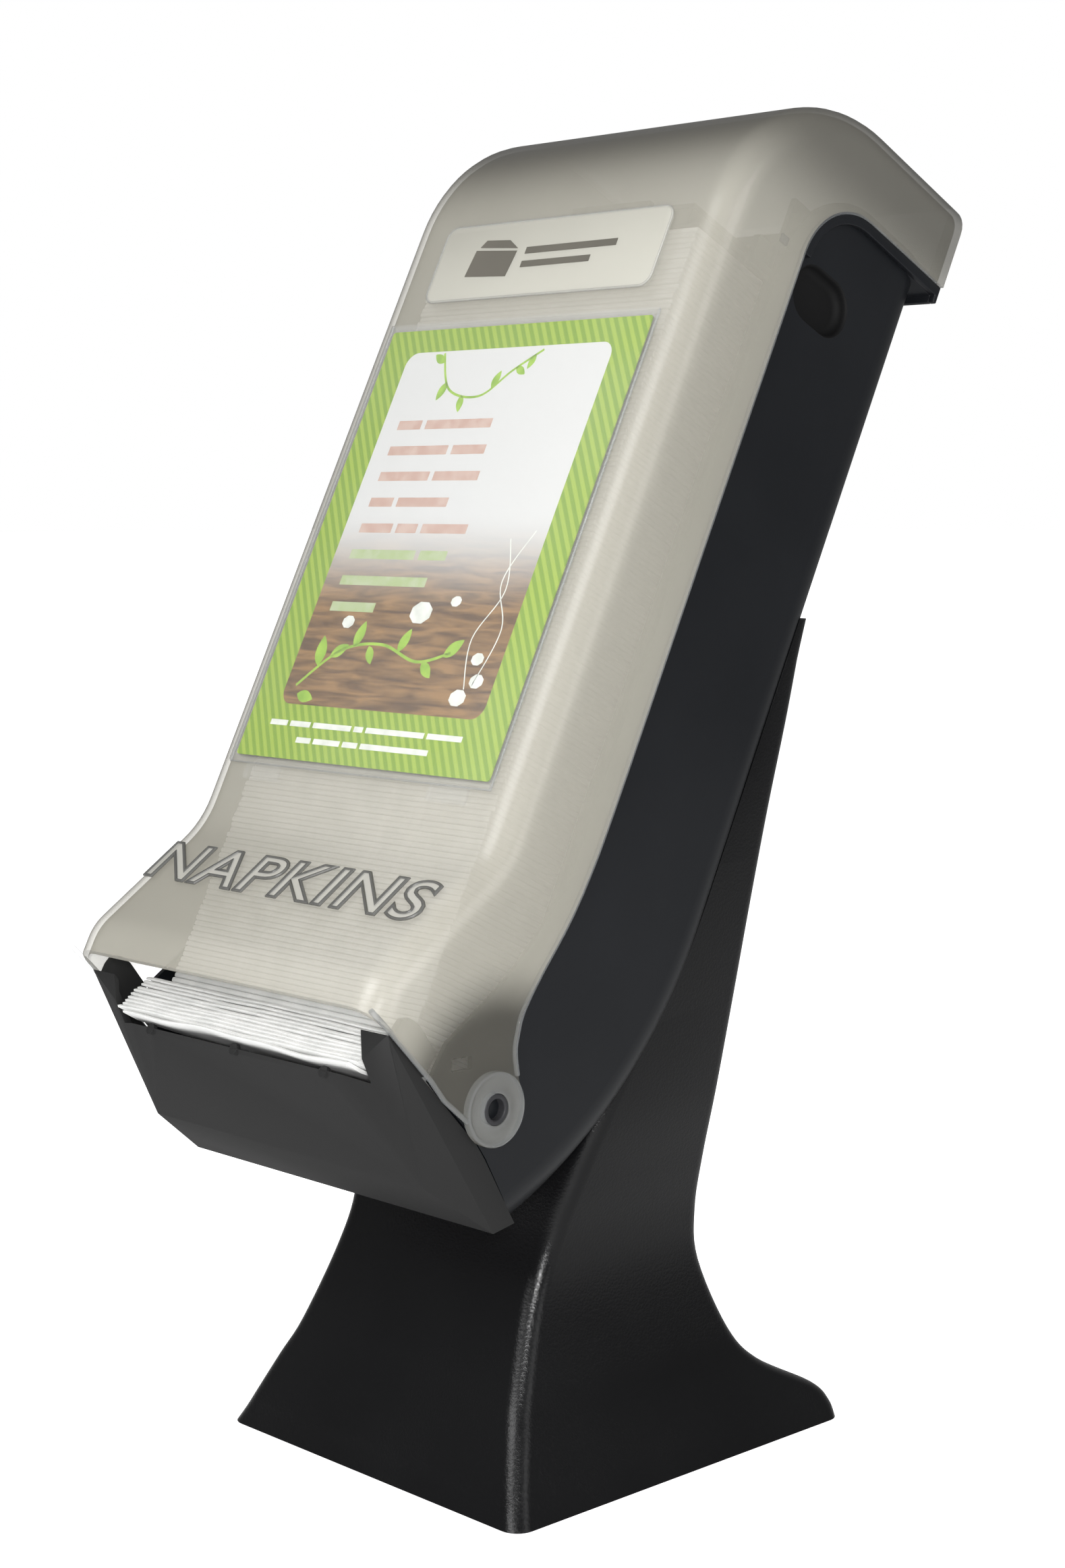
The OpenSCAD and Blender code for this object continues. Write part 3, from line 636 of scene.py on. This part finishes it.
def folded_napkin(lower, upper, half_w, ripple):
    """One napkin seen from the side: two plies with a round fold in front, rippled across its width."""
    front = (Vector(lower[0]) + Vector(upper[0])) / 2
    nose = (front.x, front.y + (Vector(lower[0]) - Vector(upper[0])).length / 2)
    bm = slab([nose, *upper, *reversed(lower)], half_w)
    for k in range(1, 40):
        cut = bm.verts[:] + bm.edges[:] + bm.faces[:]
        at = -half_w + 2 * half_w * k / 40
        bmesh.ops.bisect_plane(bm, geom=cut, plane_co=(at, 0, 0), plane_no=(1, 0, 0))
    phase = random.uniform(0, 6.28)
    for vert in bm.verts:
        x, s, n = vert.co
        forward = max(0.0, (n - 100) / 55)
        wave = math.sin(x / 17 + phase) + 0.6 * math.sin(x / 7.3 + 2.1 * phase)
        vert.co.y += ripple * forward ** 2 * wave
        vert.co.z += 0.8 * ripple * forward * math.sin(x / 29 + phase)
    return bm


fan = bmesh.new()
for i in range(1, FAN_COUNT):
    lower = between(fan_bottom, fan_top, i / FAN_COUNT)
    upper = between(fan_bottom, fan_top, (i + 0.9) / FAN_COUNT)
    join_mesh(fan, folded_napkin(lower, upper, NAPKIN_HALF_W - random.uniform(0.3, 1.6), 0.22))
mouth_fan = make_piece(fan, "mouth_napkin_fan", paper, sharp_angle=70)
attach(mouth_fan, "stand_and_trough")
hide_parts("mouth_napkins")

leading = folded_napkin(
    between(fan_bottom, fan_top, 0), between(fan_bottom, fan_top, 0.8 / FAN_COUNT), 76, 0.5
)
leading_napkin = make_piece(leading, "leading_napkin", paper, sharp_angle=70)
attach(leading_napkin, "stand_and_trough")


# ---------------------------------------------------------------- Cover
# The cover is one thin moulding in clear smoke-tinted plastic, frosted on its faces and polished along its
# edges and round the ears, which snap over the hinge bosses. Napkins show through it as a pale blur.

def frosted_plastic(name, colour, haze, roughness, streaks=0.0, clear_haze=None):
    """
    Clear plastic with a satin face; haze is how much of what lies behind each face it hides.
    With clear_haze the frosting fades out towards the hinge, and painted shade darkens the hood and the far
    side walls.
    """
    material = new_material(name)
    place = shader_node(material, "ShaderNodeTexCoord").outputs["Object"]
    blotch = shader_node(material, "ShaderNodeTexNoise", Vector=place, Scale=7.0, Detail=3.0)
    etched = shader_node(material, "ShaderNodeTexNoise", Vector=place, Scale=2400.0, Detail=3.0)
    drawn = shader_node(material, "ShaderNodeMapping", Vector=place, Scale=(60.0, 1.2, 0.6))
    streak = shader_node(
        material, "ShaderNodeTexNoise", Vector=drawn.outputs["Vector"], Scale=8.0, Detail=2.0
    )
    bump = shader_node(
        material, "ShaderNodeBump", Height=etched.outputs["Fac"], Strength=0.12, Distance=0.0001
    )
    mixed = maths(material, "MULTIPLY_ADD", streak.outputs["Fac"], streaks, blotch.outputs["Fac"])
    veil = map_range(material, mixed, 0.3, 0.7 + streaks, haze - 0.05, haze + 0.05)
    rough = map_range(material, blotch.outputs["Fac"], 0, 1, roughness - 0.04, roughness + 0.06)
    tint = (*colour, 1)
    if clear_haze is not None:
        vectors = "ShaderNodeVectorMath"
        side_view = maths(material, "MULTIPLY", place, (0, 1, 1), kind=vectors)
        reach = maths(
            material, "DISTANCE", side_view, (0, hinge.y, hinge.z), kind=vectors, output="Value"
        )
        near = map_range(material, reach, 0.036, 0.064, clear_haze / haze, 1, "SMOOTHSTEP")
        # The frosting is denser on the hood, and its tint is painted darker there: painted shade standing in
        # for the dim inside of the hood behind it
        climb = maths(material, "DOT_PRODUCT", place, up_slope, kind=vectors, output="Value")
        start = slope_foot.dot(up_slope)
        hood_shade_mask = map_range(material, climb, start + 0.548, start + 0.612, 0, 1, "SMOOTHSTEP")
        thick = map_range(material, hood_shade_mask, 0, 1, 1.0, 1.6)
        veil = maths(material, "MULTIPLY", maths(material, "MULTIPLY", veil, near), thick)
        tint = colour_ramp(material, hood_shade_mask, (0.0, colour), (1.0, [0.3 * part for part in colour]))
        # A side wall seen through the rest of the cover is painted a dark smoky tint and made more opaque:
        # painted shade standing in for the dim inside behind it
        passed = shader_node(material, "ShaderNodeLightPath").outputs["Transparent Depth"]
        across = shader_node(material, "ShaderNodeSeparateXYZ", Vector=place).outputs["X"]
        on_side = map_range(material, maths(material, "ABSOLUTE", across), 0.088, 0.094, 0, 0.8)
        far_side_shade = maths(material, "MULTIPLY", map_range(material, passed, 1, 2), on_side)
        tint = shader_node(
            material, "ShaderNodeMixRGB", Fac=far_side_shade, Color1=tint, Color2=(0.13, 0.125, 0.11, 1)
        ).outputs["Color"]
        veil = maths(material, "MAXIMUM", veil, far_side_shade)
    # Seen edge-on, more of the tint is in the way
    facing = shader_node(material, "ShaderNodeLayerWeight", Blend=0.5).outputs["Facing"]
    glance = map_range(material, facing, 0.42, 0.95, 0, 1, "SMOOTHSTEP")
    tint = shader_node(
        material, "ShaderNodeMixRGB", {"blend_type": "MULTIPLY"}, Fac=glance, Color1=tint,
        Color2=(0.42, 0.41, 0.38, 1),
    ).outputs["Color"]
    veil = maths(material, "MINIMUM", maths(material, "MULTIPLY_ADD", glance, 0.3, veil), 1.0)
    fill_inputs(material, material.node_tree.nodes["Principled BSDF"], {
        "Base_Color": tint,
        "Roughness": rough,
        "IOR": 1.5,
        "Alpha": veil,
        "Normal": bump.outputs["Normal"],
    })
    return material


COVER_HALF_W, COVER_WALL, CORNER_R = 103.0, 2.4, 15.0
FRONT_N, RIM_N, RIM_S, CREASE_S, RAMP_ANGLE = 141.1, 176.4, 175.0, 251.0, 29.15
TOP_S, TOP_R, COVER_REAR_N, HOOD_S = 636.7, 82.3, -5.0, 593.5
ramp = math.tan(math.radians(RAMP_ANGLE))


def softened(corner, before, after, reach, steps=6):
    """A corner of an outline turned into a short curve that starts and ends this far from it."""
    corner, before, after = Vector(corner), Vector(before), Vector(after)
    start = corner + (before - corner).normalized() * reach
    end = corner + (after - corner).normalized() * reach
    return [
        tuple((1 - t) ** 2 * start + 2 * t * (1 - t) * corner + t * t * end)
        for t in [k / steps for k in range(steps + 1)]
    ]


def cover_solid(inset):
    """The cover's outer or inner surface made solid, with its front corners rounded all the way round."""
    slip = inset * math.tan(math.radians(RAMP_ANGLE) / 2)
    front, rim = FRONT_N - inset, RIM_N - inset
    crease = (CREASE_S - slip, front)
    ramp_foot = (CREASE_S - (RIM_N - FRONT_N) / ramp - slip, rim)
    bottom = (120, rim)
    arc_s, arc_n = TOP_S - TOP_R, FRONT_N - TOP_R
    dome = arc(arc_s, arc_n, TOP_R - inset, 0, 90, 22)
    outline = [
        bottom, *softened(ramp_foot, bottom, crease, 7), *softened(crease, ramp_foot, dome[0], 12),
        *dome, (TOP_S - inset, COVER_REAR_N + inset), (120, COVER_REAR_N + inset),
    ]
    return slab(
        outline, COVER_HALF_W - inset,
        lambda s, n: n > COVER_REAR_N + inset + 0.5 and s > 121 or s > 600 or abs(n - rim) < 0.01,
        CORNER_R - 0.6 * inset, 8,
    )


EAR_R, HOLE_R = 15.7, 6.7
neck = curve_through([
    (174.6, 89.6), (184.4, 96.3), (192.4, 98.6), (201.2, 99.6), (217.3, 97.2), (241, 92),
    (262, 89.4), (294, 88.2), (400, 88.2), (558.5, 88.2),
], 4)
side_edge = [*neck, *arc(558.5, 53.2, 35, 0, 90, 14), (HOOD_S, COVER_REAR_N - 2)]
front_edge = [(RIM_S, 185), (RIM_S, RIM_N), (170.7, 163.4), (159.9, 134.7), (154.8, 124.3)]
cover_outline = [
    (645, COVER_REAR_N - 2), (645, 185), *front_edge,
    *arc(HINGE_S, HINGE_N, EAR_R, -38, -216, 26), *side_edge,
]
frosted = frosted_plastic("frosted_smoke_plastic", (0.52, 0.50, 0.43), 0.40, 0.24, 0.4, 0.07)
cover = make_piece(cover_solid(0), "cover_moulding", frosted)
carve(cover, make_piece(cover_solid(COVER_WALL), "tool", frosted))
carve(cover, make_piece(slab(cover_outline, COVER_HALF_W + 5), "tool", frosted), "INTERSECT")
holes = bmesh.new()
bmesh.ops.create_cone(
    holes, cap_ends=True, segments=48, radius1=HOLE_R, radius2=HOLE_R, depth=260,
    matrix=Matrix.Translation((0, HINGE_S, HINGE_N)) @ Matrix.Rotation(math.radians(90), 4, "Y"),
)
carve(cover, make_piece(holes, "tool", frosted))
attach(cover, "cover")
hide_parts("cover")

# The ears are thickened round the hinge holes: a polished outer ring, a dished face and a rolled rim.
polished = frosted_plastic("polished_smoke_plastic", (0.45, 0.47, 0.48), 0.2, 0.06)


def turned_ring(profile, centre, steps=64):
    """A closed ring turned from (radius, x) points about the hinge line, on the right side."""
    bm = bmesh.new()
    corners = [bm.verts.new((x, centre[0] + radius, centre[1])) for radius, x in profile]
    section = [bm.edges.new((corners[i - 1], corners[i])) for i in range(len(corners))]
    bmesh.ops.spin(
        bm, geom=corners + section, cent=(0, *centre), axis=(1, 0, 0), angle=math.tau, steps=steps,
        use_merge=True, use_duplicate=False,
    )
    bmesh.ops.remove_doubles(bm, verts=bm.verts, dist=0.001)
    bmesh.ops.recalc_face_normals(bm, faces=bm.faces)
    return bm


ear_profile = [
    (HOLE_R, 100.5), (HOLE_R, 103.5), (HOLE_R + 0.5, 103.75), (HOLE_R + 1.2, 103.6), (9.2, 102.6),
    (12.4, 102.4), (13.6, 103.0), (14.2, 103.6), (14.9, 103.78), (15.5, 103.5), (15.6, 102.8),
    (15.6, 100.5),
]
ears = bmesh.new()
for side in (1, -1):
    ring = turned_ring(ear_profile, (HINGE_S, HINGE_N))
    ring.transform(Matrix.Scale(side, 4, (1, 0, 0)))
    bmesh.ops.recalc_face_normals(ring, faces=ring.faces)
    join_mesh(ears, ring)
ear_rings = make_piece(ears, "cover_ear_rings", polished, sharp_angle=50)
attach(ear_rings, "cover")


# The cover's cut edge is flame-polished to a rounded clear bead, from the hood down the sides to the ears.
edge_x = COVER_HALF_W - COVER_WALL / 2
for side, label in ((1, "right"), (-1, "left")):
    run = [(side * edge_x, s, n - 0.6) for s, n in neck[1:]]
    run += [(side * edge_x, s, n - 0.6) for s, n in arc(558.5, 53.2, 35, 0, 90, 14)[1:]]
    run += [(side * edge_x, HOOD_S + 0.4, n) for n in (40, 20, 0)]
    bead(run, 1.15, f"cover_edge_{label}", polished, "cover")
    mouth_run = [(s, n) for s, n in front_edge[1:]] + arc(HINGE_S, HINGE_N, EAR_R - 0.8, -38, -30, 2)[:1]
    mouth_run = [(side * edge_x, s, n) for s, n in mouth_run]
    bead(mouth_run, 1.15, f"cover_mouth_edge_{label}", polished, "cover")
lugs = bmesh.new()
for side in (1, -1):
    lug = box_solid((94.5, 101.5), (555.6, 559.6), (97.6, 102.8), 0.5)
    lug.transform(Matrix.Scale(side, 4, (1, 0, 0)))
    bmesh.ops.recalc_face_normals(lug, faces=lug.faces)
    join_mesh(lugs, lug)
cover_lugs = make_piece(lugs, "cover_latch_lugs", polished)
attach(cover_lugs, "cover")

# The word on the ramp is pressed into the moulding as shallow block capitals. Their faces are painted lighter
# than the cover as painted light, and a dark line round each is painted shade at the letters' edges.
RAMP = LEAN @ Matrix.Translation((0, CREASE_S, FRONT_N)) @ Matrix.Rotation(
    math.radians(-RAMP_ANGLE), 4, "X"
)


def lettering(text, width, height, middle, name, material, fill, extrude, edge):
    """Block capitals lying on the ramp: solid ones, or with fill NONE just a raised line round each."""
    data = bpy.data.curves.new(name, "FONT")
    data.body = text
    data.resolution_u = 6
    data.fill_mode = fill
    data.extrude = extrude
    data.bevel_depth = edge
    data.offset = 0.012
    data.space_character = 1.08
    letters = bpy.data.objects.new(name, data)
    bpy.context.scene.collection.objects.link(letters)
    bpy.context.view_layer.update()
    mesh = bpy.data.meshes.new_from_object(letters.evaluated_get(bpy.context.evaluated_depsgraph_get()))
    bpy.data.objects.remove(letters)
    bm = bmesh.new()
    bm.from_mesh(mesh)
    bmesh.ops.remove_doubles(bm, verts=bm.verts, dist=1e-5)
    low = Vector([min(v.co[i] for v in bm.verts) for i in range(3)])
    high = Vector([max(v.co[i] for v in bm.verts) for i in range(3)])
    centre, span = (low + high) / 2, high - low
    bmesh.ops.translate(bm, verts=bm.verts, vec=-centre)
    bmesh.ops.scale(bm, verts=bm.verts, vec=(width / span.x, height / span.y, height / span.y))
    bmesh.ops.translate(bm, verts=bm.verts, vec=middle)
    piece = make_piece(bm, name, material, RAMP, 30)
    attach(piece, "cover")


letter_face = frosted_plastic("letter_face_painted_light", (0.72, 0.71, 0.66), 0.4, 0.12)
letter_line = frosted_plastic("letter_edge_painted_shade", (0.11, 0.11, 0.105), 0.75, 0.2)
lettering("NAPKINS", 181, 23.4, (-1.5, -28.8, 0.1), "napkins_word_faces", letter_face, "BOTH", 0.012, 0)
lettering("NAPKINS", 182, 24.4, (-1.5, -28.8, 0.3), "napkins_word_edge_shade", letter_line, "NONE", 0, 0.022)


# ---------------------------------------------------------------- Badge window
# A clear polished panel set flush in the cover above the card, with a rounded rim. It bears only a plain
# pictogram of a folded napkin and two bars.

BADGE_S, BADGE_HALF_W, BADGE_CORNER = (513.7, 553.2), 72.7, 6


def plate(half_w, s_range, n_range, corner, bevel, name, material, body, place=LEAN, middle_x=0.0):
    """A flat panel with round corners and eased edges, lying in the cover's front."""
    bm = bmesh.new()
    bmesh.ops.create_cube(bm, size=1)
    size = (2 * half_w, s_range[1] - s_range[0], n_range[1] - n_range[0])
    bmesh.ops.scale(bm, verts=bm.verts, vec=size)
    bmesh.ops.translate(
        bm, verts=bm.verts, vec=(middle_x, sum(s_range) / 2, sum(n_range) / 2)
    )
    upright = [e for e in bm.edges if abs(e.verts[0].co.z - e.verts[1].co.z) > 0.5 * size[2]]
    bmesh.ops.bevel(
        bm, geom=upright, offset=corner, segments=8, profile=0.5, affect="EDGES", material=-1
    )
    if bevel:
        rim = [e for e in bm.edges if e.calc_face_angle(0) > 1]
        bmesh.ops.bevel(
            bm, geom=rim, offset=bevel, segments=2, profile=0.5, affect="EDGES", material=-1
        )
    piece = make_piece(bm, name, material, place)
    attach(piece, body)
    return piece


clear_panel = frosted_plastic("clear_panel_plastic", (0.66, 0.65, 0.58), 0.55, 0.08)
badge_n = (FRONT_N - 1, FRONT_N + 0.35)
badge = plate(BADGE_HALF_W, BADGE_S, badge_n, BADGE_CORNER, 0.3, "badge_panel", clear_panel, "cover")
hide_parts("badge_window")
rim_path = []
rim_x = BADGE_HALF_W - BADGE_CORNER
rim_s = (BADGE_S[0] + BADGE_CORNER, BADGE_S[1] - BADGE_CORNER)
for x, s, start in (
    (rim_x, rim_s[1], 0), (-rim_x, rim_s[1], 90), (-rim_x, rim_s[0], 180), (rim_x, rim_s[0], 270),
):
    for k in range(9):
        angle = math.radians(start + 11.25 * k)
        rim_path.append((
            x + BADGE_CORNER * math.cos(angle), s + BADGE_CORNER * math.sin(angle), FRONT_N + 0.2
        ))
bead(rim_path, 0.65, "badge_rim", polished, "cover", closed=True)
emblem_ink = moulded_plastic("grey_emblem_print", (0.10, 0.095, 0.08), (0.14, 0.13, 0.11), 0.35, 2.0, 0.01)
emblem = bmesh.new()
middle_s = sum(BADGE_S) / 2
for points in (
    [(-50, -7.5), (-22, -9), (-20, 4), (-48, 6)],
    [(-46, 7.5), (-20, 5.4), (-27, 10), (-43, 11)],
    [(-14, 2), (44, 2), (44, 5.4), (-14, 5.4)],
    [(-14, -5), (30, -5), (30, -1.8), (-14, -1.8)],
):
    face = emblem.faces.new([emblem.verts.new((x, middle_s + y, FRONT_N + 0.4)) for x, y in points])
    layer = bmesh.ops.extrude_face_region(emblem, geom=[face])["geom"]
    bmesh.ops.translate(
        emblem, verts=[v for v in layer if isinstance(v, bmesh.types.BMVert)], vec=(0, 0, 0.2)
    )
bmesh.ops.recalc_face_normals(emblem, faces=emblem.faces)
badge_emblem = make_piece(emblem, "badge_emblem", emblem_ink)
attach(badge_emblem, "cover")


# ---------------------------------------------------------------- Card and its holder
# A printed card slides down into a clear sleeve bonded to the cover's front. The sleeve is open at the top
# and stands on two small tabs; the card carries a plain leaf design with bars in place of wording.

HOLDER_HALF_W, HOLDER_S = 86.4, (279.5, 501.0)
CARD_S, CARD_HALF_W, CARD_N = (283.0, 497.8), 84.2, (142.2, 142.8)
sleeve = new_material("clear_sleeve_plastic")
sleeve_place = shader_node(sleeve, "ShaderNodeTexCoord").outputs["Object"]
sleeve_haze = shader_node(sleeve, "ShaderNodeTexNoise", Vector=sleeve_place, Scale=12.0, Detail=4.0)
sleeve_alpha = shader_node(
    sleeve, "ShaderNodeMapRange", Value=sleeve_haze.outputs["Fac"], To_Min=0.02, To_Max=0.09
)
fill_inputs(sleeve, sleeve.node_tree.nodes["Principled BSDF"], {
    "Base_Color": (0.8, 0.82, 0.82, 1), "Roughness": 0.05, "Alpha": sleeve_alpha.outputs["Result"],
})
holder = eased_copy("card_holder", "card_sleeve", sleeve, 0.0003)
bead(
        [(HOLDER_HALF_W, HOLDER_S[1], 142.4), (HOLDER_HALF_W, HOLDER_S[0], 142.4),
         (-HOLDER_HALF_W, HOLDER_S[0], 142.4), (-HOLDER_HALF_W, HOLDER_S[1], 142.4)],
        0.55, "card_sleeve_edge", polished, "cover",
    )


def flat_uv(mesh, scale):
    """Lays a flat map over a piece from its place across and up the slope, in hundreds of millimetres."""
    layer = mesh.uv_layers.new(name="flat")
    back = LEAN.inverted()
    for loop in mesh.loops:
        place = back @ mesh.vertices[loop.vertex_index].co
        layer.data[loop.index].uv = (place.x * scale, place.y * scale)


def printed(name, build):
    material = new_material(name)
    place = shader_node(material, "ShaderNodeUVMap", {"uv_map": "flat"}).outputs["UV"]
    fibre = shader_node(material, "ShaderNodeTexNoise", Vector=place, Scale=260.0, Detail=3.0)
    bump = shader_node(
        material, "ShaderNodeBump", Height=fibre.outputs["Fac"], Strength=0.08, Distance=0.0001
    )
    fill_inputs(material, material.node_tree.nodes["Principled BSDF"], {
        "Base_Color": build(material, place), "Roughness": 0.4, "Normal": bump.outputs["Normal"],
    })
    return material


def green_stripes(material, place):
    turned = shader_node(
        material, "ShaderNodeMapping", Vector=place, Rotation=(0, 0, math.radians(-35))
    )
    wave = shader_node(
        material, "ShaderNodeTexWave", {"wave_profile": "SIN"}, Vector=turned.outputs["Vector"],
        Scale=7.2,
    )
    return colour_ramp(
        material, wave.outputs["Fac"], (0.35, (0.17, 0.29, 0.010)), (0.65, (0.28, 0.39, 0.032))
    )


def fading_grain(material, place):
    """Pale at the top, running down into brown wood grain."""
    long_grain = shader_node(material, "ShaderNodeMapping", Vector=place, Scale=(1.2, 9.0, 1.0))
    grain = shader_node(
        material, "ShaderNodeTexNoise", Vector=long_grain.outputs["Vector"], Scale=3.2, Detail=6.0,
        Distortion=0.6,
    )
    wood = colour_ramp(
        material, grain.outputs["Fac"], (0.35, (0.08, 0.036, 0.008)), (0.65, (0.26, 0.14, 0.045))
    )
    height = shader_node(material, "ShaderNodeSeparateXYZ", Vector=place).outputs["Y"]
    fade = map_range(material, height, 3.55, 4.05, 0, 1, "SMOOTHSTEP")
    return shader_node(
        material, "ShaderNodeMixRGB", Fac=fade, Color1=wood, Color2=(0.58, 0.58, 0.57, 1)
    ).outputs["Color"]


striped = printed("green_card_print", green_stripes)
card = plate(CARD_HALF_W, CARD_S, CARD_N, 1.5, 0, "card_sheet", striped, "card")
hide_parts("display_card")
flat_uv(card.data, 0.01)
panel = plate(
    67, (309, 486), (CARD_N[1] - 0.1, CARD_N[1] + 0.05), 7, 0, "card_panel",
    printed("wood_panel_print", fading_grain), "card",
)
flat_uv(panel.data, 0.01)


def plain_ink(name, colour, shade):
    return printed(name, lambda material, place: colour_ramp(
        material,
        shader_node(material, "ShaderNodeTexNoise", Vector=place, Scale=14.0, Detail=3.0).outputs["Fac"],
        (0.35, shade), (0.6, colour),
    ))


def flat_shapes(outlines, lift, name, material):
    """Printed shapes on the card: each outline of (x, s) points is a thin layer of ink."""
    bm = bmesh.new()
    for outline in outlines:
        face = bm.faces.new([bm.verts.new((x, s, CARD_N[1] + lift)) for x, s in outline])
        layer = bmesh.ops.extrude_face_region(bm, geom=[face])["geom"]
        bmesh.ops.translate(
            bm, verts=[v for v in layer if isinstance(v, bmesh.types.BMVert)], vec=(0, 0, 0.04)
        )
    bmesh.ops.recalc_face_normals(bm, faces=bm.faces)
    piece = make_piece(bm, name, material)
    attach(piece, "card")
    flat_uv(piece.data, 0.01)
    return piece


def leaf(x, s, length, turn):
    """A pointed leaf that grows from (x, s), turned this many degrees from straight up."""
    along = Vector((math.sin(math.radians(turn)), math.cos(math.radians(turn))))
    across = Vector((along.y, -along.x))
    half = [
        (t * length, 0.28 * length * math.sin(math.pi * t) ** 0.8 * (1 - 0.3 * t))
        for t in [k / 8 for k in range(1, 8)]
    ]
    root = Vector((x, s))
    right = [root + a * along + b * across for a, b in half]
    left = [root + a * along - b * across for a, b in reversed(half)]
    return [root, *right, root + length * along, *left]


def stem(points, width):
    line = curve_through(points, 8)
    left, right = [], []
    for i, (x, s) in enumerate(line):
        nearby = Vector(line[min(i + 1, len(line) - 1)]) - Vector(line[max(i - 1, 0)])
        side = Vector((-nearby.y, nearby.x)).normalized() * width / 2
        left.append(Vector((x, s)) + side)
        right.append(Vector((x, s)) - side)
    return left + right[::-1]


low_stem = [(-60, 318), (-38, 336), (-12, 340), (14, 333), (34, 338)]
top_stem = [(-42, 485), (-30, 466), (-8, 462), (8, 474), (24, 484)]
greens = [stem(low_stem, 1.4), stem(top_stem, 1.2)]
for x, s, length, turn in (
    (-50, 328, 15, -10), (-44, 333, 12, 60), (-30, 338, 13, 10), (-20, 339, 10, 150),
    (0, 337, 12, 20), (18, 333, 11, 130), (30, 336, 13, 50), (-57, 314, 12, 100), (-40, 480, 9, -60),
    (-33, 470, 10, 200), (-20, 463, 9, 170), (-2, 466, 9, 20), (10, 476, 8, 120), (20, 482, 8, 200),
):
    greens.append(leaf(x, s, length, turn))
flat_shapes(greens, 0.06, "card_leaves", plain_ink("leaf_green_ink", (0.30, 0.48, 0.04), (0.2, 0.36, 0.02)))


def bar(x, s, width, height):
    return [(x, s), (x + width, s), (x + width, s + height), (x, s + height)]


def line_of_bars(s, widths, height, start=-56.0, gap=3.0):
    bars = []
    for width in widths:
        bars.append(bar(start, s, width, height))
        start += width + gap
    return bars


warm = [
    b for s, widths in (
        (446, (16, 44)), (433, (40, 22)), (420, (34, 30)), (407, (16, 34)), (394, (22, 14, 30)),
    ) for b in line_of_bars(s, widths, 4.6)
]
cool = [
    b for s, widths in ((381, (44, 18)), (368, (58,)), (355, (30,)))
    for b in line_of_bars(s, widths, 4.6)
]
flat_shapes(warm, 0.06, "card_warm_bars", plain_ink("warm_bar_ink", (0.46, 0.30, 0.24), (0.52, 0.38, 0.32)))
flat_shapes(cool, 0.06, "card_green_bars", plain_ink("green_bar_ink", (0.34, 0.42, 0.20), (0.40, 0.46, 0.28)))
pale = line_of_bars(298.5, (12, 14, 26, 6, 38, 22), 2.6, -68, 2)
pale += line_of_bars(291, (10, 18, 10, 44), 2.6, -46, 2)
corners = [math.radians(45 * k + 20) for k in range(8)]
pebbles = [
    [(x + 1.3 * r * math.cos(a), s + r * math.sin(a)) for a in corners]
    for x, s, r in (
        (6, 356, 5.5), (26, 362, 2.6), (-40, 350, 3.2), (48, 318, 4), (56, 326, 3.4), (52, 336, 3),
    )
]
fronds = [
    stem([(50, 322), (44, 345), (54, 368), (46, 392)], 0.6),
    stem([(54, 324), (60, 350), (50, 372), (60, 396)], 0.6),
]
pale_ink = plain_ink("pale_ink", (0.70, 0.72, 0.66), (0.58, 0.60, 0.55))
flat_shapes(pale + pebbles + fronds, 0.06, "card_pale_print", pale_ink)


# ---------------------------------------------------------------- Setting
# A plain pale floor and soft studio light.

floor_material = new_material("pale_floor")
floor_place = shader_node(floor_material, "ShaderNodeTexCoord").outputs["Object"]
floor_mottle = shader_node(floor_material, "ShaderNodeTexNoise", Vector=floor_place, Scale=3.0)
fill_inputs(floor_material, floor_material.node_tree.nodes["Principled BSDF"], {
    "Base_Color": colour_ramp(
        floor_material, floor_mottle.outputs["Fac"], (0.3, (0.88, 0.88, 0.88)), (0.7, (0.9, 0.9, 0.9))
    ),
    "Roughness": 0.8,
    "Emission_Color": (1, 1, 1, 1),
    "Emission_Strength": shader_node(floor_material, "ShaderNodeLightPath").outputs["Is Camera Ray"],
})
ground = bmesh.new()
bmesh.ops.create_grid(ground, x_segments=1, y_segments=1, size=30)
floor = make_piece(ground, "floor", floor_material, Matrix.Identity(4))

world = bpy.data.worlds.new("studio")
bpy.context.scene.world = world
world.use_nodes = True
backdrop = world.node_tree.nodes["Background"]
backdrop.inputs["Color"].default_value = (1, 1, 1, 1)
seen_directly = world.node_tree.nodes.new("ShaderNodeLightPath")
strength = world.node_tree.nodes.new("ShaderNodeMapRange")
strength.inputs["To Min"].default_value = 0.24
strength.inputs["To Max"].default_value = 1.0
world.node_tree.links.new(seen_directly.outputs["Is Camera Ray"], strength.inputs["Value"])
world.node_tree.links.new(strength.outputs["Result"], backdrop.inputs["Strength"])
bpy.context.scene.view_settings.view_transform = "Standard"


def soft_light(name, place_m, aim_m, width, height, power):
    data = bpy.data.lights.new(name, "AREA")
    data.shape = "RECTANGLE"
    data.size = width
    data.size_y = height
    data.energy = power
    lamp = bpy.data.objects.new(name, data)
    lamp.location = place_m
    aim = Vector(aim_m) - Vector(place_m)
    lamp.rotation_euler = aim.to_track_quat("-Z", "Y").to_euler()
    bpy.context.scene.collection.objects.link(lamp)


soft_light("key_light", (0.2, -1.8, 1.9), (0, 0, 0.35), 1.2, 1.2, 40)
soft_light("side_light", (2.0, 0.2, 1.0), (0, 0, 0.3), 0.8, 1.6, 10)
soft_light("camera_light", (0.95, -0.88, 0.50), (0, 0, 0.2), 0.08, 0.14, 13)


def camera_at(place_m, azimuth, pitch, lens):
    data = bpy.data.cameras.new("camera")
    data.lens = lens
    data.sensor_width = 36
    camera = bpy.data.objects.new("camera", data)
    camera.location = place_m
    camera.rotation_euler = (math.radians(90 - pitch), 0, math.radians(azimuth))
    bpy.context.scene.collection.objects.link(camera)
    bpy.context.scene.camera = camera


camera_at((0.8650, -0.8279, 0.4308), 46.277, 6.161, 60.30)
